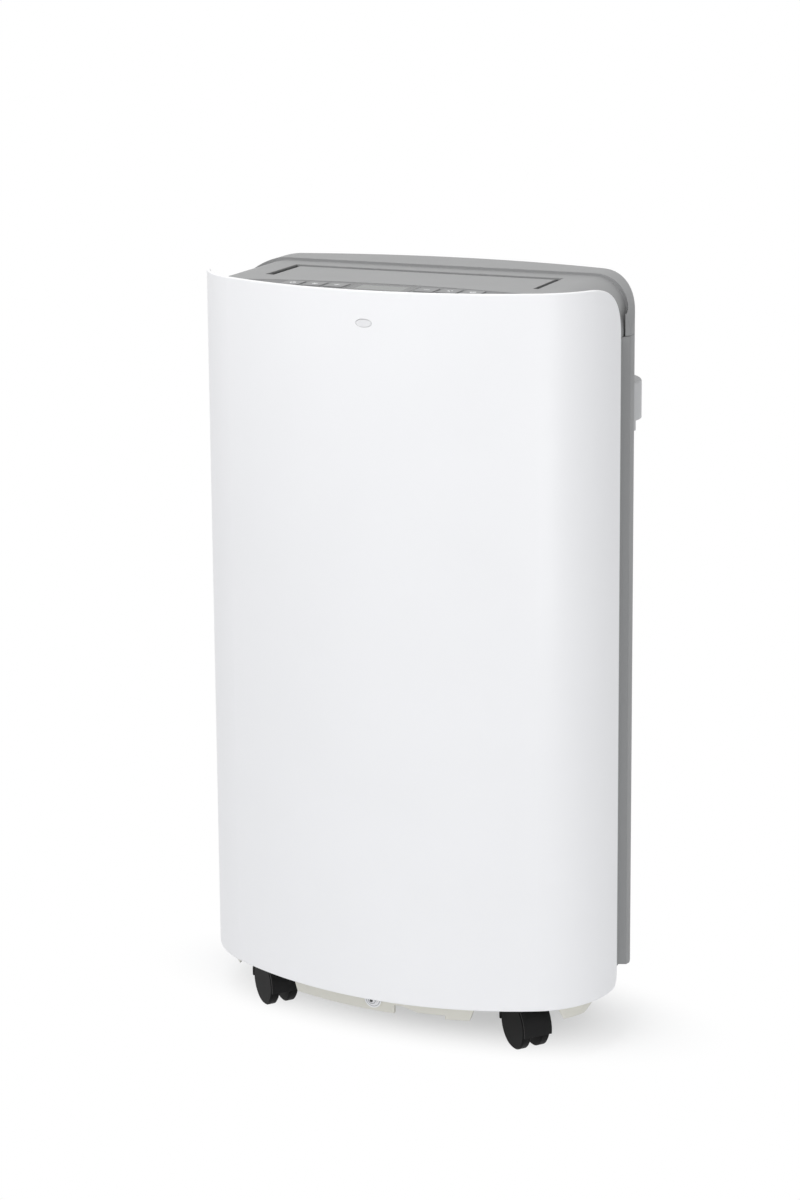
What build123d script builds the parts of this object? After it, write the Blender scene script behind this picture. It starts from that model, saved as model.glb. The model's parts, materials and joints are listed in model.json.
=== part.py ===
"""Portable air conditioner on casters: bowed front panel, grey covers, top outlet flap, blowers and coils.

Millimetres, +Z up, the front faces -Y. The origin is on the floor under the middle of the outline.
Depths are measured back from the front bow and turned into Y by the view planes and helpers below.
The base stands on its casters, the lower chamber on the base and the upper chamber on the partition,
so heights follow from the floor up, and the top cover hangs from the overall height.
"""

import os
from math import acos, asin, atan2, cos, degrees, radians, sin

from build123d import *

os.makedirs("parts", exist_ok=True)

# Overall sizes
HEIGHT = 790.0
PANEL_HALF_WIDTH = 221.5
BODY_DEPTH = 250.0
COLLAR_REACH = 20.0
DEPTH = BODY_DEPTH + COLLAR_REACH
FRONT = -DEPTH / 2

# Clearances, and how far a cut runs past the face that it opens
FIT = 0.3
RUNNING = 0.05
SLIDE = 0.3
CUT = 1.0

# Twin-wheel casters
WHEEL_DIA = 50.0
TREAD = 10.0
TREAD_EDGE = 1.5
WEB = 10.0
WEB_GAP = 0.6
AXLE = 3.0
AXLE_BOSS = 6.0
AXLE_GRIP = 2.0
HOOD_GAP = 1.2
HOOD_WALL = 2.2
HOOD_SKIRT = 4.0
STEM = 5.5
STEM_COLLAR = 4.0
STEM_COLLAR_HEIGHT = 5.0
CASTER_X = 142.0
CASTER_FRONT = 78.0
CASTER_SETBACK = 60.0
CASTER_TURN = 48.0
CASTER_TRAIL = 6.0
AXLE_Z = WHEEL_DIA / 2
HOOD_INNER = AXLE_Z + HOOD_GAP
HOOD_OUTER = HOOD_INNER + HOOD_WALL
HOOD_HALF = WEB / 2 + WEB_GAP + TREAD
CASTER_REAR = BODY_DEPTH - CASTER_SETBACK

# Base pan with its skirt, caster wells, sockets and drain
PAN_CLEAR = 8.6
PAN_THICK = 4.0
PAN_RIM = 33.0
RECESS_INSET = 12.0
RECESS_HEIGHT = 16.0
SKIRT_INSET = 14.0
SKIRT_WALL = 4.0
SKIRT_DROP = 20.5
SKIRT_SIDE = 92.0
SKIRT_SLOPE = 38.0
SKIRT_BACK = 40.0
NOTCH_SPAN = (18.5, 72.0)
NOTCH_PEAK = (28.0, 9.0)
NOTCH_STEP = (44.0, 4.0)
WELL_INNER = 38.5
WELL_OUTER = 33.5
WELL_DRAFT = 7.5
SOCKET_WALL = 6.0
SOCKET_RISE = 16.0
DRAIN_X = -4.0
DRAIN_DROP = 7.5
DRAIN_RING = 9.5
DRAIN_BORE = 5.0
DRAIN_PROUD = 2.0
DRAIN_LENGTH = 26.0
DRAIN_WALL = 4.0
DRAIN_HOLE = 4.0
PLUG_HEAD = 3.0
PLUG_LIP = 4.0
PLUG_GRIP = 2.5
PLUG_GRIP_HEIGHT = 1.5
PLUG_LENGTH = 10.0
GLAND_X = 60.0
GLAND_RADIUS = 7.0
GLAND_DROP = 10.0
GLAND_BORE = 4.0
GLAND_LIP = 2.0
GLAND_PROUD = 2.6
GLAND_LENGTH = 11.0
GLAND_HEAD = 2.0
PAN_FLOOR = AXLE_Z + HOOD_OUTER + PAN_CLEAR
PAN_TOP = PAN_FLOOR + PAN_THICK
PAN_RIM_Z = PAN_FLOOR + PAN_RIM
STEM_TOP = PAN_FLOOR + SOCKET_RISE
SKIRT_Z = PAN_FLOOR - SKIRT_DROP
DRAIN_Z = PAN_FLOOR - DRAIN_DROP
GLAND_Z = PAN_FLOOR - GLAND_DROP
RECESS_Z = PAN_FLOOR + RECESS_HEIGHT

# Bowed front panel and its sensor window
CORNER_RADIUS = 95.0
CORNER_DEPTH = 123.3
PANEL_WALL = 3.0
PANEL_EDGE = 1.2
PANEL_DROP = 1.6
PANEL_LAP = 3.0
PANEL_TOP_CORNER = 50.0
PANEL_FOOT_CORNER = 12.0
SENSOR_DROP = 32.0
SENSOR_WIDTH = 17.0
SENSOR_HEIGHT = 8.4
SENSOR_FLANGE = 2.5
PANEL_BOTTOM = PAN_FLOOR - PANEL_DROP
CORNER_X = PANEL_HALF_WIDTH - CORNER_RADIUS
CORNER_SPARE = CORNER_DEPTH - CORNER_RADIUS
FRONT_RADIUS = (CORNER_X**2 + CORNER_DEPTH**2 - CORNER_RADIUS**2) / (2 * CORNER_SPARE)
FRONT_TURN = degrees(asin(CORNER_X / (FRONT_RADIUS - CORNER_RADIUS)))
PANEL_END = CORNER_DEPTH + PANEL_LAP
SENSOR_Z = HEIGHT - SENSOR_DROP

# Grey covers: the top cover ends at a seam, the rear cover hangs below it
WALL = 2.5
PANEL_PROUD = 0.5
RIM_RISE = 3.0
RIM_PROUD = 2.5
COVER_DROP = 51.5
SEAM_GAP = 0.4
COVER_FOOT = 15.0
COVER_HEEL = 8.5
COVER_HEEL_BACK = 86.0
COVER_LAP = 21.3
SHOULDER = 48.0
RIM_SHOULDER = 52.0
CREASE_DEPTH = 141.0
CREASE_BACK = 60.0
CREASE_CORNER = 45.0
FLARE = 7.0
REAR_CORNER = 80.0
REAR_FALL = 100.0
COVER_INSET = PANEL_WALL + FIT
COVER_HALF = PANEL_HALF_WIDTH - COVER_INSET
COVER_TOP_Z = HEIGHT - PANEL_PROUD - RIM_RISE
RIM_TOP = COVER_TOP_Z + RIM_RISE
SEAM_Z = COVER_TOP_Z - COVER_DROP
COVER_FOOT_Z = PAN_FLOOR + COVER_FOOT
COVER_HEEL_Z = PAN_FLOOR + COVER_HEEL
COVER_HEEL_DEPTH = BODY_DEPTH - COVER_HEEL_BACK
COVER_START = PANEL_END - COVER_LAP
CREASE_REAR = BODY_DEPTH - CREASE_BACK
RIM_HALF_WIDTH = PANEL_HALF_WIDTH + RIM_PROUD
REAR_X = RIM_HALF_WIDTH - REAR_CORNER
REAR_CORNER_DEPTH = BODY_DEPTH - REAR_FALL
REAR_RADIUS = (REAR_X**2 + REAR_FALL**2 - REAR_CORNER**2) / (2 * (REAR_FALL - REAR_CORNER))
REAR_TURN = degrees(atan2(REAR_X, REAR_RADIUS - REAR_FALL))

# Control strip on the top, with its keys, display and board
STRIP_HALF = 170.0
STRIP_REAR = 70.0
STRIP_END = 48.0
STRIP_THICK = 3.0
STRIP_LEDGE = 3.0
STRIP_SINK = 0.3
KEY_WIDTH = 20.0
KEY_LENGTH = 23.0
KEY_DEPTH = 45.0
KEY_CORNER = 2.0
KEY_LIP = 1.0
KEY_LIP_THICK = 1.5
KEY_FIRST = 48.2
KEY_PITCH = 24.2
KEY_PROUD = 0.8
KEY_TRAVEL = 1.0
KEY_STEM = 2.0
KEY_STEM_GAP = 0.1
KEYS_PER_SIDE = 3
DISPLAY_WIDTH = 69.0
DISPLAY_LENGTH = 37.0
DISPLAY_THICK = 1.6
DISPLAY_LEDGE = 4.0
BOARD_DROP = 14.5
BOARD_THICK = 1.6
BOARD_MARGIN = 6.0
SWITCH = 6.0
SWITCH_HEIGHT = 3.0
POST_DEPTH = 28.0
POST_PLACES = (40.0, 86.0)
POST = 2.5
STRIP_TOP = COVER_TOP_Z - STRIP_SINK
STRIP_BASE = STRIP_TOP - STRIP_THICK
BOARD_Z = COVER_TOP_Z - BOARD_DROP
BOARD_TOP = BOARD_Z + BOARD_THICK
SWITCH_TOP = BOARD_TOP + SWITCH_HEIGHT

# Outlet flap, swing vanes, their link and the outlet duct
OUTLET_HALF = 148.2
OUTLET_FRONT = 89.0
OUTLET_REAR = 164.8
FLAP_END_GAP = 7.0
FLAP_THICK = 5.0
FLAP_SKIN = 2.0
FLAP_EDGE = 1.0
FLAP_SINK = 0.8
FLAP_NOSE = 7.4
FLAP_PIN = 3.0
FLAP_BAYS = 5
FLAP_RIB = 3.0
PIN_REACH = 6.0
FLAP_MOTOR = 12.0
FLAP_MOTOR_LENGTH = 19.0
FLAP_MOTOR_DROP = 8.0
FLAP_BRACKET = 2.0
FLAP_BRACKET_HALF = 6.0
FLAP_BRACKET_DROP = (4.5, 24.0)
DUCT_WALL = 2.0
DUCT_BOX = 50.5
VANE_COUNT = 5
VANE_END_GAP = 35.0
VANE_SINK = 32.5
VANE_HALF = 13.0
VANE_HEEL = 3.0
VANE_THICK = 2.0
VANE_PIN = 1.5
VANE_GAP = 1.0
CRANK = 10.0
CRANK_PIN = 1.3
CRANK_ROOT = 3.0
LINK_SETBACK = 4.0
LINK_THICK = 2.0
LINK_HALF = 4.5
LINK_END = 6.0
LINK_SLOT = 0.35
LINK_SLOT_UP = 3.5
LINK_SLOT_DOWN = 2.0
FLAP_TOP = COVER_TOP_Z - FLAP_SINK
FLAP_HALF = OUTLET_HALF - FLAP_END_GAP
HINGE_DEPTH = OUTLET_REAR - FIT - FLAP_NOSE
HINGE_Z = FLAP_TOP - FLAP_NOSE
DUCT_BOX_Z = COVER_TOP_Z - DUCT_BOX
DUCT_TOP = COVER_TOP_Z - WALL - FIT
DUCT_HALF = OUTLET_HALF + FIT
DUCT_FRONT = OUTLET_FRONT - FIT
DUCT_REAR = OUTLET_REAR + FIT
VANE_AXIS_Z = COVER_TOP_Z - VANE_SINK
VANE_PITCH = 2 * (OUTLET_HALF - VANE_END_GAP) / (VANE_COUNT - 1)
LINK_DEPTH = OUTLET_FRONT + LINK_SETBACK

# Blower wheels, scrolls and motors
BLOWER_RADIUS = 80.0
BLADE_DEPTH = 14.0
BLADES = 30
BLADE_THICK = 1.4
BLADE_CURVE = 12.0
BLOWER_PLATE = 2.0
BLOWER_GAP = 6.0
SHAFT = 4.0
HUB = 11.0
HUB_GAP = 2.0
EYE_LIP = 2.0
SCROLL_GAP = 15.0
SCROLL_STEP = 8.0
SCROLL_WALL = 2.5
SCROLL_FRONT = 62.0
SCROLL_REAR = 138.0
SCROLL_TONGUE = 60.0
SCROLL_LEG_X = 40.0
SCROLL_LEG_HALF = 6.0
SCROLL_LEG_SETBACK = 12.0
SCROLL_LEG_TOP = 0.75
MOTOR_RADIUS = 42.0
MOTOR_LENGTH = 34.0
MOTOR_FLANGE = 8.0
MOTOR_FLANGE_THICK = 3.0
MOTOR_CAP = 28.0
MOTOR_CAP_HEIGHT = 5.0
SHAFT_END_GAP = 2.0
COND_X = -75.0
COND_LIFT = 44.0
COND_SPOUT = 22.0
EVAP_X = -30.0
EVAP_LIFT = 15.0
EVAP_SPOUT = 15.0
BLOWER_EYE = BLOWER_RADIUS - BLADE_DEPTH
BLOWER_FRONT = SCROLL_FRONT + SCROLL_WALL + BLOWER_GAP
BLOWER_BACK = SCROLL_REAR - SCROLL_WALL - BLOWER_GAP
SCROLL_START = BLOWER_RADIUS + SCROLL_GAP
SCROLL_LEAN = SCROLL_STEP / 2
SCROLL_TONGUE_X = SCROLL_START * cos(radians(SCROLL_TONGUE))
SCROLL_WIDE = SCROLL_START + 2 * SCROLL_STEP
SCROLL_SPAN = (SCROLL_TONGUE_X - SCROLL_LEAN + SCROLL_WALL, SCROLL_WIDE + SCROLL_LEAN - SCROLL_WALL)
SCROLL_DEPTHS = (SCROLL_FRONT + SCROLL_WALL, SCROLL_REAR - SCROLL_WALL)
COND_Z = PAN_TOP + SCROLL_START + COND_LIFT
COND_OUT = SCROLL_START + COND_SPOUT
EVAP_OUT = SCROLL_START + EVAP_SPOUT

# Exhaust: plenum over the condenser scroll, hose collar at the back
EXHAUST_BORE = 66.0
EXHAUST_DROP = 6.0
COLLAR_WALL = 4.0
COLLAR_LIP = 12.0
COLLAR_FLANGE_THICK = 3.0
COLLAR_SEAT_PROUD = 2.0
COLLAR_SEAT_EDGE = 2.0
PLENUM_SIDE = 6.0
PLENUM_SPARE = 3.0
PLENUM_FRONT = 60.0
PLENUM_BACK = 28.0
PLENUM_WALL = 2.5
PLENUM_LIP = 4.0
COLLAR_RADIUS = EXHAUST_BORE + COLLAR_WALL
COLLAR_FLANGE = COLLAR_RADIUS + COLLAR_LIP
COLLAR_SEAT = BODY_DEPTH + COLLAR_SEAT_PROUD
PLENUM_HALF = EXHAUST_BORE + PLENUM_SIDE
PLENUM_REAR = BODY_DEPTH - PLENUM_BACK
PLENUM_Z = COND_Z + COND_OUT

# Drip partition between the chambers
PARTITION_THICK = 3.0
PARTITION_RIM = 12.0
PARTITION_RIM_WALL = 2.0
PARTITION_Z = PLENUM_Z + 2 * EXHAUST_BORE + PLENUM_SPARE
PARTITION_TOP = PARTITION_Z + PARTITION_THICK
EXHAUST_Z = PARTITION_Z - EXHAUST_BORE - EXHAUST_DROP
EVAP_Z = PARTITION_TOP + SCROLL_START + EVAP_LIFT

# Finned coils
COIL_BACK = 36.0
COIL_THICK = 36.0
COIL_PLATE = 1.5
COIL_TUBE_EDGE = 10.0
COIL_LIFT = 6.0
COIL_TOP_GAP = 13.0
FIN_PITCH = 8.0
FIN_THICK = 2.0
FIN_DEPTH = 3.0
TUBE = 4.5
TUBE_LEVELS = 4
EVAP_COIL_HALF = 150.0
COND_COIL_LEFT = -176.0
COND_COIL_RIGHT = 50.0
COIL_REAR = BODY_DEPTH - COIL_BACK
COIL_FRONT = COIL_REAR - COIL_THICK
NEAR_ROW = COIL_FRONT + COIL_TUBE_EDGE
FAR_ROW = COIL_REAR - COIL_TUBE_EDGE
EVAP_COIL_SPAN = (-EVAP_COIL_HALF, EVAP_COIL_HALF)
COND_COIL_SPAN = (COND_COIL_LEFT, COND_COIL_RIGHT)
EVAP_COIL_Z = (PARTITION_TOP, SEAM_Z - COIL_TOP_GAP)
COND_COIL_Z = (STEM_TOP + COIL_LIFT, COND_Z + SCROLL_START)

# Compressor, accumulator and pipes
COMPRESSOR_OFFSET = 46.0
COMPRESSOR_DEPTH = 150.0
COMPRESSOR_RADIUS = 55.0
COMPRESSOR_HEIGHT = 195.0
COMPRESSOR_DOME = 24.0
COMPRESSOR_FOOT = 70.0
WELD_Z = 140.0
WELD_HEIGHT = 6.0
WELD_PROUD = 1.5
FOOT_ANGLES = (90, 210, 330)
FOOT_PLATE = 3.5
GROMMET = 9.0
GROMMET_WALL_GAP = 1.0
GROMMET_HEIGHT = 15.0
STUD = 3.0
STUD_PROUD = 9.0
NUT = 5.5
NUT_HEIGHT = 5.0
TANK_RADIUS = 20.0
TANK_HEIGHT = 130.0
TANK_LIFT = 35.0
TANK_DOME = 8.0
TANK_GAP = 0.5
TANK_ANGLE = -70.0
PIPE = 4.0
PIPE_BEND = 8.0
PIPE_OVER = 24.0
PIPE_SECOND = 26.0
PIPE_UNDER = 18.0
PIPE_HOLE_GAP = 2.0
DISCHARGE_OFFSET = 12.0
DROP_OFFSET = 20.0
RISER_OFFSET = 12.0
LIQUID_OFFSET = 20.0
SUCTION_OFFSET = 30.0
COMPRESSOR_X = PLENUM_HALF + COMPRESSOR_OFFSET
FOOT_PLATE_Z = PAN_TOP + GROMMET_HEIGHT
SHELL_Z = FOOT_PLATE_Z + FOOT_PLATE
SHELL_TOP = SHELL_Z + COMPRESSOR_HEIGHT
TANK_REACH = COMPRESSOR_RADIUS + WELD_PROUD + TANK_RADIUS + TANK_GAP
TANK_X = COMPRESSOR_X + TANK_REACH * cos(radians(TANK_ANGLE))
TANK_DEPTH = COMPRESSOR_DEPTH + TANK_REACH * sin(radians(TANK_ANGLE))
TANK_Z = SHELL_Z + TANK_LIFT
TANK_TOP = TANK_Z + TANK_HEIGHT

# Rear filter cassettes
FILTER_HALF = 146.0
FILTER_RIM = 2.0
FILTER_LEG = 4.0
FILTER_LAND = 0.5
UPPER_FILTER_GAP = 15.0
LOWER_FILTER_GAP = 7.0
LOWER_FILTER_LIFT = 3.0
GRILLE_THICK = 3.0
GRILLE_FRAME = 9.0
GRILLE_PITCH = 14.0
GRILLE_SLOT = 7.0
GRILLE_COLUMNS = 4
MESH_THICK = 1.2
MESH_SETBACK = 1.0
UPPER_FILTER = (EXHAUST_Z + COLLAR_FLANGE + UPPER_FILTER_GAP, SEAM_Z - COIL_TOP_GAP)
LOWER_FILTER = (PAN_RIM_Z + LOWER_FILTER_LIFT, EXHAUST_Z - COLLAR_FLANGE - LOWER_FILTER_GAP)

# Hooded grips on the rear corners
HANDLE_ANGLE = 52.0
HANDLE_REACH = 60.0
HANDLE_RADIUS = 38.0
HANDLE_WALL = 3.5
HANDLE_EDGE = 3.0
HANDLE_HEIGHT = 50.0
HANDLE_DROP = 54.0
HANDLE_RELIEF = 10.0
HANDLE_LIP = 30.0
HANDLE_TOP = SEAM_Z - HANDLE_DROP
HANDLE_BOTTOM = HANDLE_TOP - HANDLE_HEIGHT

# Splash wheel, control box and run capacitor
SPLASH_X = -140.0
SPLASH_LIFT = 32.0
SPLASH_RADIUS = 24.0
SPLASH_THICK = 3.0
SPLASH_PADDLES = 12
SPLASH_PADDLE = (5.0, 3.0)
SPLASH_SHAFT = 2.0
SPLASH_MOTOR = 15.0
SPLASH_MOTOR_LENGTH = 22.0
SPLASH_SETBACK = 4.0
SPLASH_GAP = 3.0
SPLASH_BRACKET_HALF = 10.0
SPLASH_BRACKET_EDGE = 4.0
SPLASH_BRACKET_TOP = 8.0
SPLASH_SOCKET = 16.0
BOX_SPAN = (-196.0, -138.0)
BOX_DEPTHS = (88.0, 165.0)
BOX_HEIGHT = 175.0
BOX_WALL = 3.0
BOX_LID = 2.5
BOX_CORNER = 4.0
CAPACITOR_X = 128.0
CAPACITOR_DEPTH = 96.0
CAPACITOR_RADIUS = 21.0
CAPACITOR_HEIGHT = 72.0
CAPACITOR_EDGE = 3.0
LUG_X = 7.0
LUG_HALF = 3.0
LUG_THICK = 1.0
LUG_HEIGHT = 10.0
SPLASH_Z = PAN_TOP + SPLASH_LIFT
SPLASH_FRONT = SCROLL_REAR + SPLASH_SETBACK
SPLASH_DISC = SPLASH_FRONT + SPLASH_MOTOR_LENGTH + SPLASH_GAP


# View planes and span helpers
def plan_view(z):
    return Plane(origin=(0, FRONT, z))


def front_view(depth):
    return Plane(origin=(0, FRONT + depth, 0), x_dir=(1, 0, 0), z_dir=(0, -1, 0))


def side_view(x):
    return Plane(origin=(x, FRONT, 0), x_dir=(0, 1, 0), z_dir=(1, 0, 0))


def around(middle, half):
    return (middle - half, middle + half)


def block(x, depth, z, mode=Mode.ADD):
    """A box given by its spans across, back and up."""
    middle = ((x[0] + x[1]) / 2, FRONT + (depth[0] + depth[1]) / 2, (z[0] + z[1]) / 2)
    with Locations(middle):
        Box(x[1] - x[0], depth[1] - depth[0], z[1] - z[0], mode=mode)


def rod_x(radius, x, depth, z, mode=Mode.ADD):
    with Locations(((x[0] + x[1]) / 2, FRONT + depth, z)):
        Cylinder(radius, x[1] - x[0], rotation=(0, 90, 0), mode=mode)


def rod_y(radius, x, depth, z, mode=Mode.ADD):
    with Locations((x, FRONT + (depth[0] + depth[1]) / 2, z)):
        Cylinder(radius, depth[1] - depth[0], rotation=(90, 0, 0), mode=mode)


def rod_z(radius, x, depth, z, mode=Mode.ADD):
    with Locations((x, FRONT + depth, (z[0] + z[1]) / 2)):
        Cylinder(radius, z[1] - z[0], mode=mode)


# Outlines that the shells share
def front_plan(inset, end, plane):
    """The region behind the bowed front, drawn in by an inset and closed straight at a depth."""
    corner = CORNER_RADIUS - inset
    half = CORNER_X + corner
    with BuildSketch(plane) as region:
        with BuildLine():
            CenterArc((0, FRONT_RADIUS), FRONT_RADIUS - inset, 270 - FRONT_TURN, 2 * FRONT_TURN)
            right = CenterArc((CORNER_X, CORNER_DEPTH), corner, 270 + FRONT_TURN, 90 - FRONT_TURN)
            left = CenterArc((-CORNER_X, CORNER_DEPTH), corner, 180, 90 - FRONT_TURN)
            Polyline(right @ 1, (half, end), (-half, end), left @ 0)
        make_face()
    return region.sketch


def cover_plan(inset, z):
    """The outline of the grey covers: bowed front, flared rim, round rear corners and bowed back."""
    corner = CORNER_RADIUS - COVER_INSET - inset
    bow = FRONT_RADIUS - COVER_INSET - inset
    half = COVER_HALF - inset
    rim = RIM_HALF_WIDTH - inset
    rear_corner = REAR_CORNER - inset
    rear_sweep = 90 - REAR_TURN
    bow_centre = (0, BODY_DEPTH - REAR_RADIUS)
    with BuildSketch(plan_view(z)) as region:
        with BuildLine():
            CenterArc((0, FRONT_RADIUS), bow, 270 - FRONT_TURN, 2 * FRONT_TURN)
            right = CenterArc((CORNER_X, CORNER_DEPTH), corner, 270 + FRONT_TURN, 90 - FRONT_TURN)
            left = CenterArc((-CORNER_X, CORNER_DEPTH), corner, 180, 90 - FRONT_TURN)
            right_rear = CenterArc((REAR_X, REAR_CORNER_DEPTH), rear_corner, 0, rear_sweep)
            left_rear = CenterArc((-REAR_X, REAR_CORNER_DEPTH), rear_corner, 90 + REAR_TURN, rear_sweep)
            CenterArc(bow_centre, REAR_RADIUS - inset, rear_sweep, 2 * REAR_TURN)
            Polyline(right @ 1, (half, CREASE_DEPTH), (rim, CREASE_DEPTH + FLARE), right_rear @ 0)
            Polyline(left @ 0, (-half, CREASE_DEPTH), (-rim, CREASE_DEPTH + FLARE), left_rear @ 1)
        make_face()
    return region.sketch


def rear_band(outer, inner, half, z):
    """A strip of the bowed back between two insets, as wide as a rear window."""
    centre = BODY_DEPTH - REAR_RADIUS
    with BuildSketch(plan_view(z)) as region:
        with Locations((0, centre)):
            Circle(REAR_RADIUS - outer)
            Circle(REAR_RADIUS - inner, mode=Mode.SUBTRACT)
        with Locations((0, BODY_DEPTH)):
            Rectangle(2 * half, 2 * REAR_FALL, mode=Mode.INTERSECT)
    return region.sketch


def shoulder_view(half, top, radius):
    """The front view of a cover: straight sides and a flat top joined by round shoulders."""
    with BuildSketch(front_view(-CUT)) as view:
        with Locations((0, top / 2)):
            Rectangle(2 * half, top)
        fillet(view.vertices().group_by(Axis.Y)[-1], radius)
    return view.sketch


def strip_plan(margin, z):
    """The control strip: the panel's bow in front and a flatter bow behind it."""
    end = STRIP_HALF + margin
    front_inset = COVER_INSET + WALL + STRIP_LEDGE - margin
    with BuildSketch(plan_view(z)) as region:
        with BuildLine():
            ThreePointArc((-end, STRIP_END + margin), (0, STRIP_REAR + margin), (end, STRIP_END + margin))
            Polyline((end, STRIP_END + margin), (end, 0), (-end, 0), (-end, STRIP_END + margin))
        make_face()
        add(front_plan(front_inset, BODY_DEPTH, Plane.XY), mode=Mode.INTERSECT)
    return region.sketch


def sensor_view(margin, depth):
    """The sensor's oval seen from the front."""
    with BuildSketch(front_view(depth)) as oval:
        with Locations((0, SENSOR_Z)):
            Ellipse(SENSOR_WIDTH / 2 + margin, SENSOR_HEIGHT / 2 + margin)
    return oval.sketch


def scroll_view(inset, depth, outlet):
    """A blower scroll seen from the front: three growing quarter arcs and a straight outlet going up."""
    first = SCROLL_START - inset
    second = first + SCROLL_STEP
    third = second + SCROLL_STEP
    tongue = SCROLL_TONGUE_X + inset
    turn = degrees(acos(tongue / first))
    with BuildSketch(front_view(depth)) as view:
        with BuildLine():
            start = CenterArc((-SCROLL_LEAN, -SCROLL_LEAN), first, turn, 180 - turn)
            CenterArc((SCROLL_LEAN, -SCROLL_LEAN), second, 180, 90)
            end = CenterArc((SCROLL_LEAN, SCROLL_LEAN), third, 270, 90)
            Polyline(end @ 1, (SCROLL_LEAN + third, outlet), (tongue - SCROLL_LEAN, outlet), start @ 0)
        make_face()
    return view.sketch


# Front panel: a bowed shell with round top corners, a soft outer edge and the sensor's oval
with BuildPart() as front_panel:
    extrude(front_plan(0, PANEL_END, plan_view(PANEL_BOTTOM)), amount=HEIGHT - PANEL_BOTTOM)
    with BuildSketch(side_view(-PANEL_HALF_WIDTH)):
        with BuildLine():
            crown_centre = (PANEL_END - PANEL_TOP_CORNER, HEIGHT - PANEL_TOP_CORNER)
            heel_centre = (PANEL_END - PANEL_FOOT_CORNER, PANEL_BOTTOM + PANEL_FOOT_CORNER)
            crown = CenterArc(crown_centre, PANEL_TOP_CORNER, 0, 90)
            heel = CenterArc(heel_centre, PANEL_FOOT_CORNER, 270, 90)
            Line(crown @ 0, heel @ 1)
            Polyline(crown @ 1, (-CUT, HEIGHT), (-CUT, PANEL_BOTTOM), heel @ 0)
        make_face()
    extrude(amount=2 * PANEL_HALF_WIDTH, mode=Mode.INTERSECT)
    fillet(front_panel.edges().filter_by(GeomType.LINE, reverse=True), PANEL_EDGE)
    panel_hollow = front_plan(PANEL_WALL, PANEL_END, plan_view(PANEL_BOTTOM - CUT))
    extrude(panel_hollow, amount=HEIGHT, mode=Mode.SUBTRACT)
    extrude(sensor_view(0, -CUT), amount=-2 * PANEL_WALL, mode=Mode.SUBTRACT)

with BuildPart() as sensor_window:
    extrude(sensor_view(-FIT, FIT), amount=-PANEL_WALL)
    extrude(sensor_view(SENSOR_FLANGE, COVER_INSET), amount=-WALL)

# Grey top cover: saddle behind the panel, raised rim at the back, outlet opening and strip ledge
with BuildPart() as saddle_cut:
    with BuildSketch(plan_view(SEAM_Z - CUT)) as saddle_plan:
        with Locations((0, CREASE_REAR / 2)):
            Rectangle(2 * (COVER_HALF + FLARE / 4), CREASE_REAR)
        fillet(saddle_plan.vertices().group_by(Axis.Y)[-1], CREASE_CORNER)
    extrude(amount=HEIGHT - SEAM_Z + 2 * CUT)
    extrude(shoulder_view(COVER_HALF, COVER_TOP_Z, SHOULDER), amount=-DEPTH, mode=Mode.SUBTRACT)

with BuildPart() as cover_hollow:
    extrude(cover_plan(WALL, SEAM_Z - CUT), amount=HEIGHT - SEAM_Z)
    inner_view = shoulder_view(COVER_HALF - WALL, COVER_TOP_Z - WALL, SHOULDER - WALL)
    extrude(inner_view, amount=-DEPTH, mode=Mode.INTERSECT)

ledge_z = STRIP_BASE - STRIP_LEDGE
with BuildPart() as top_cover:
    extrude(cover_plan(0, SEAM_Z), amount=HEIGHT - SEAM_Z)
    extrude(shoulder_view(RIM_HALF_WIDTH, RIM_TOP, RIM_SHOULDER), amount=-DEPTH, mode=Mode.INTERSECT)
    add(saddle_cut.part, mode=Mode.SUBTRACT)
    add(cover_hollow.part, mode=Mode.SUBTRACT)
    extrude(strip_plan(STRIP_LEDGE, ledge_z), amount=COVER_TOP_Z - WALL - ledge_z)
    extrude(strip_plan(-STRIP_LEDGE, ledge_z - CUT), amount=HEIGHT - ledge_z, mode=Mode.SUBTRACT)
    extrude(strip_plan(FIT, STRIP_BASE), amount=HEIGHT - STRIP_BASE, mode=Mode.SUBTRACT)
    outlet_span = (-OUTLET_HALF, OUTLET_HALF)
    block(outlet_span, (OUTLET_FRONT, OUTLET_REAR), (SEAM_Z, HEIGHT), mode=Mode.SUBTRACT)
    extrude(sensor_view(SENSOR_FLANGE + FIT, 0), amount=-3 * PANEL_WALL, mode=Mode.SUBTRACT)

# Control strip with its display, keys and board
key_places = [side * (KEY_FIRST + KEY_PITCH * i) for side in (-1, 1) for i in range(KEYS_PER_SIDE)]
key_places.sort()
key_reach = KEY_LENGTH / 2
board_half = key_places[-1] + KEY_WIDTH / 2 + BOARD_MARGIN
board_depths = (POST_DEPTH - POST - CUT, KEY_DEPTH + key_reach)
window_half = (DISPLAY_WIDTH / 2, DISPLAY_LENGTH / 2)
open_half = (window_half[0] - DISPLAY_LEDGE, window_half[1] - DISPLAY_LEDGE)
window_base = STRIP_TOP - DISPLAY_THICK


def on_strip(x, half, length, z, mode=Mode.ADD):
    """A block centred on the row of keys."""
    block(around(x, half), around(KEY_DEPTH, length), z, mode=mode)


with BuildPart() as control_panel:
    extrude(strip_plan(0, STRIP_BASE), amount=STRIP_THICK)
    through = (STRIP_BASE - CUT, HEIGHT)
    for x in key_places:
        on_strip(x, KEY_WIDTH / 2 + SLIDE, key_reach + SLIDE, through, mode=Mode.SUBTRACT)
    seat = (window_base, HEIGHT)
    on_strip(0, window_half[0] + FIT, window_half[1] + FIT, seat, mode=Mode.SUBTRACT)
    on_strip(0, open_half[0], open_half[1], through, mode=Mode.SUBTRACT)
    for x in POST_PLACES:
        for side in (-1, 1):
            rod_z(POST, side * x, POST_DEPTH, (BOARD_TOP, STRIP_BASE))

with BuildPart() as display_window:
    on_strip(0, window_half[0], window_half[1], (window_base, STRIP_TOP))

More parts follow.
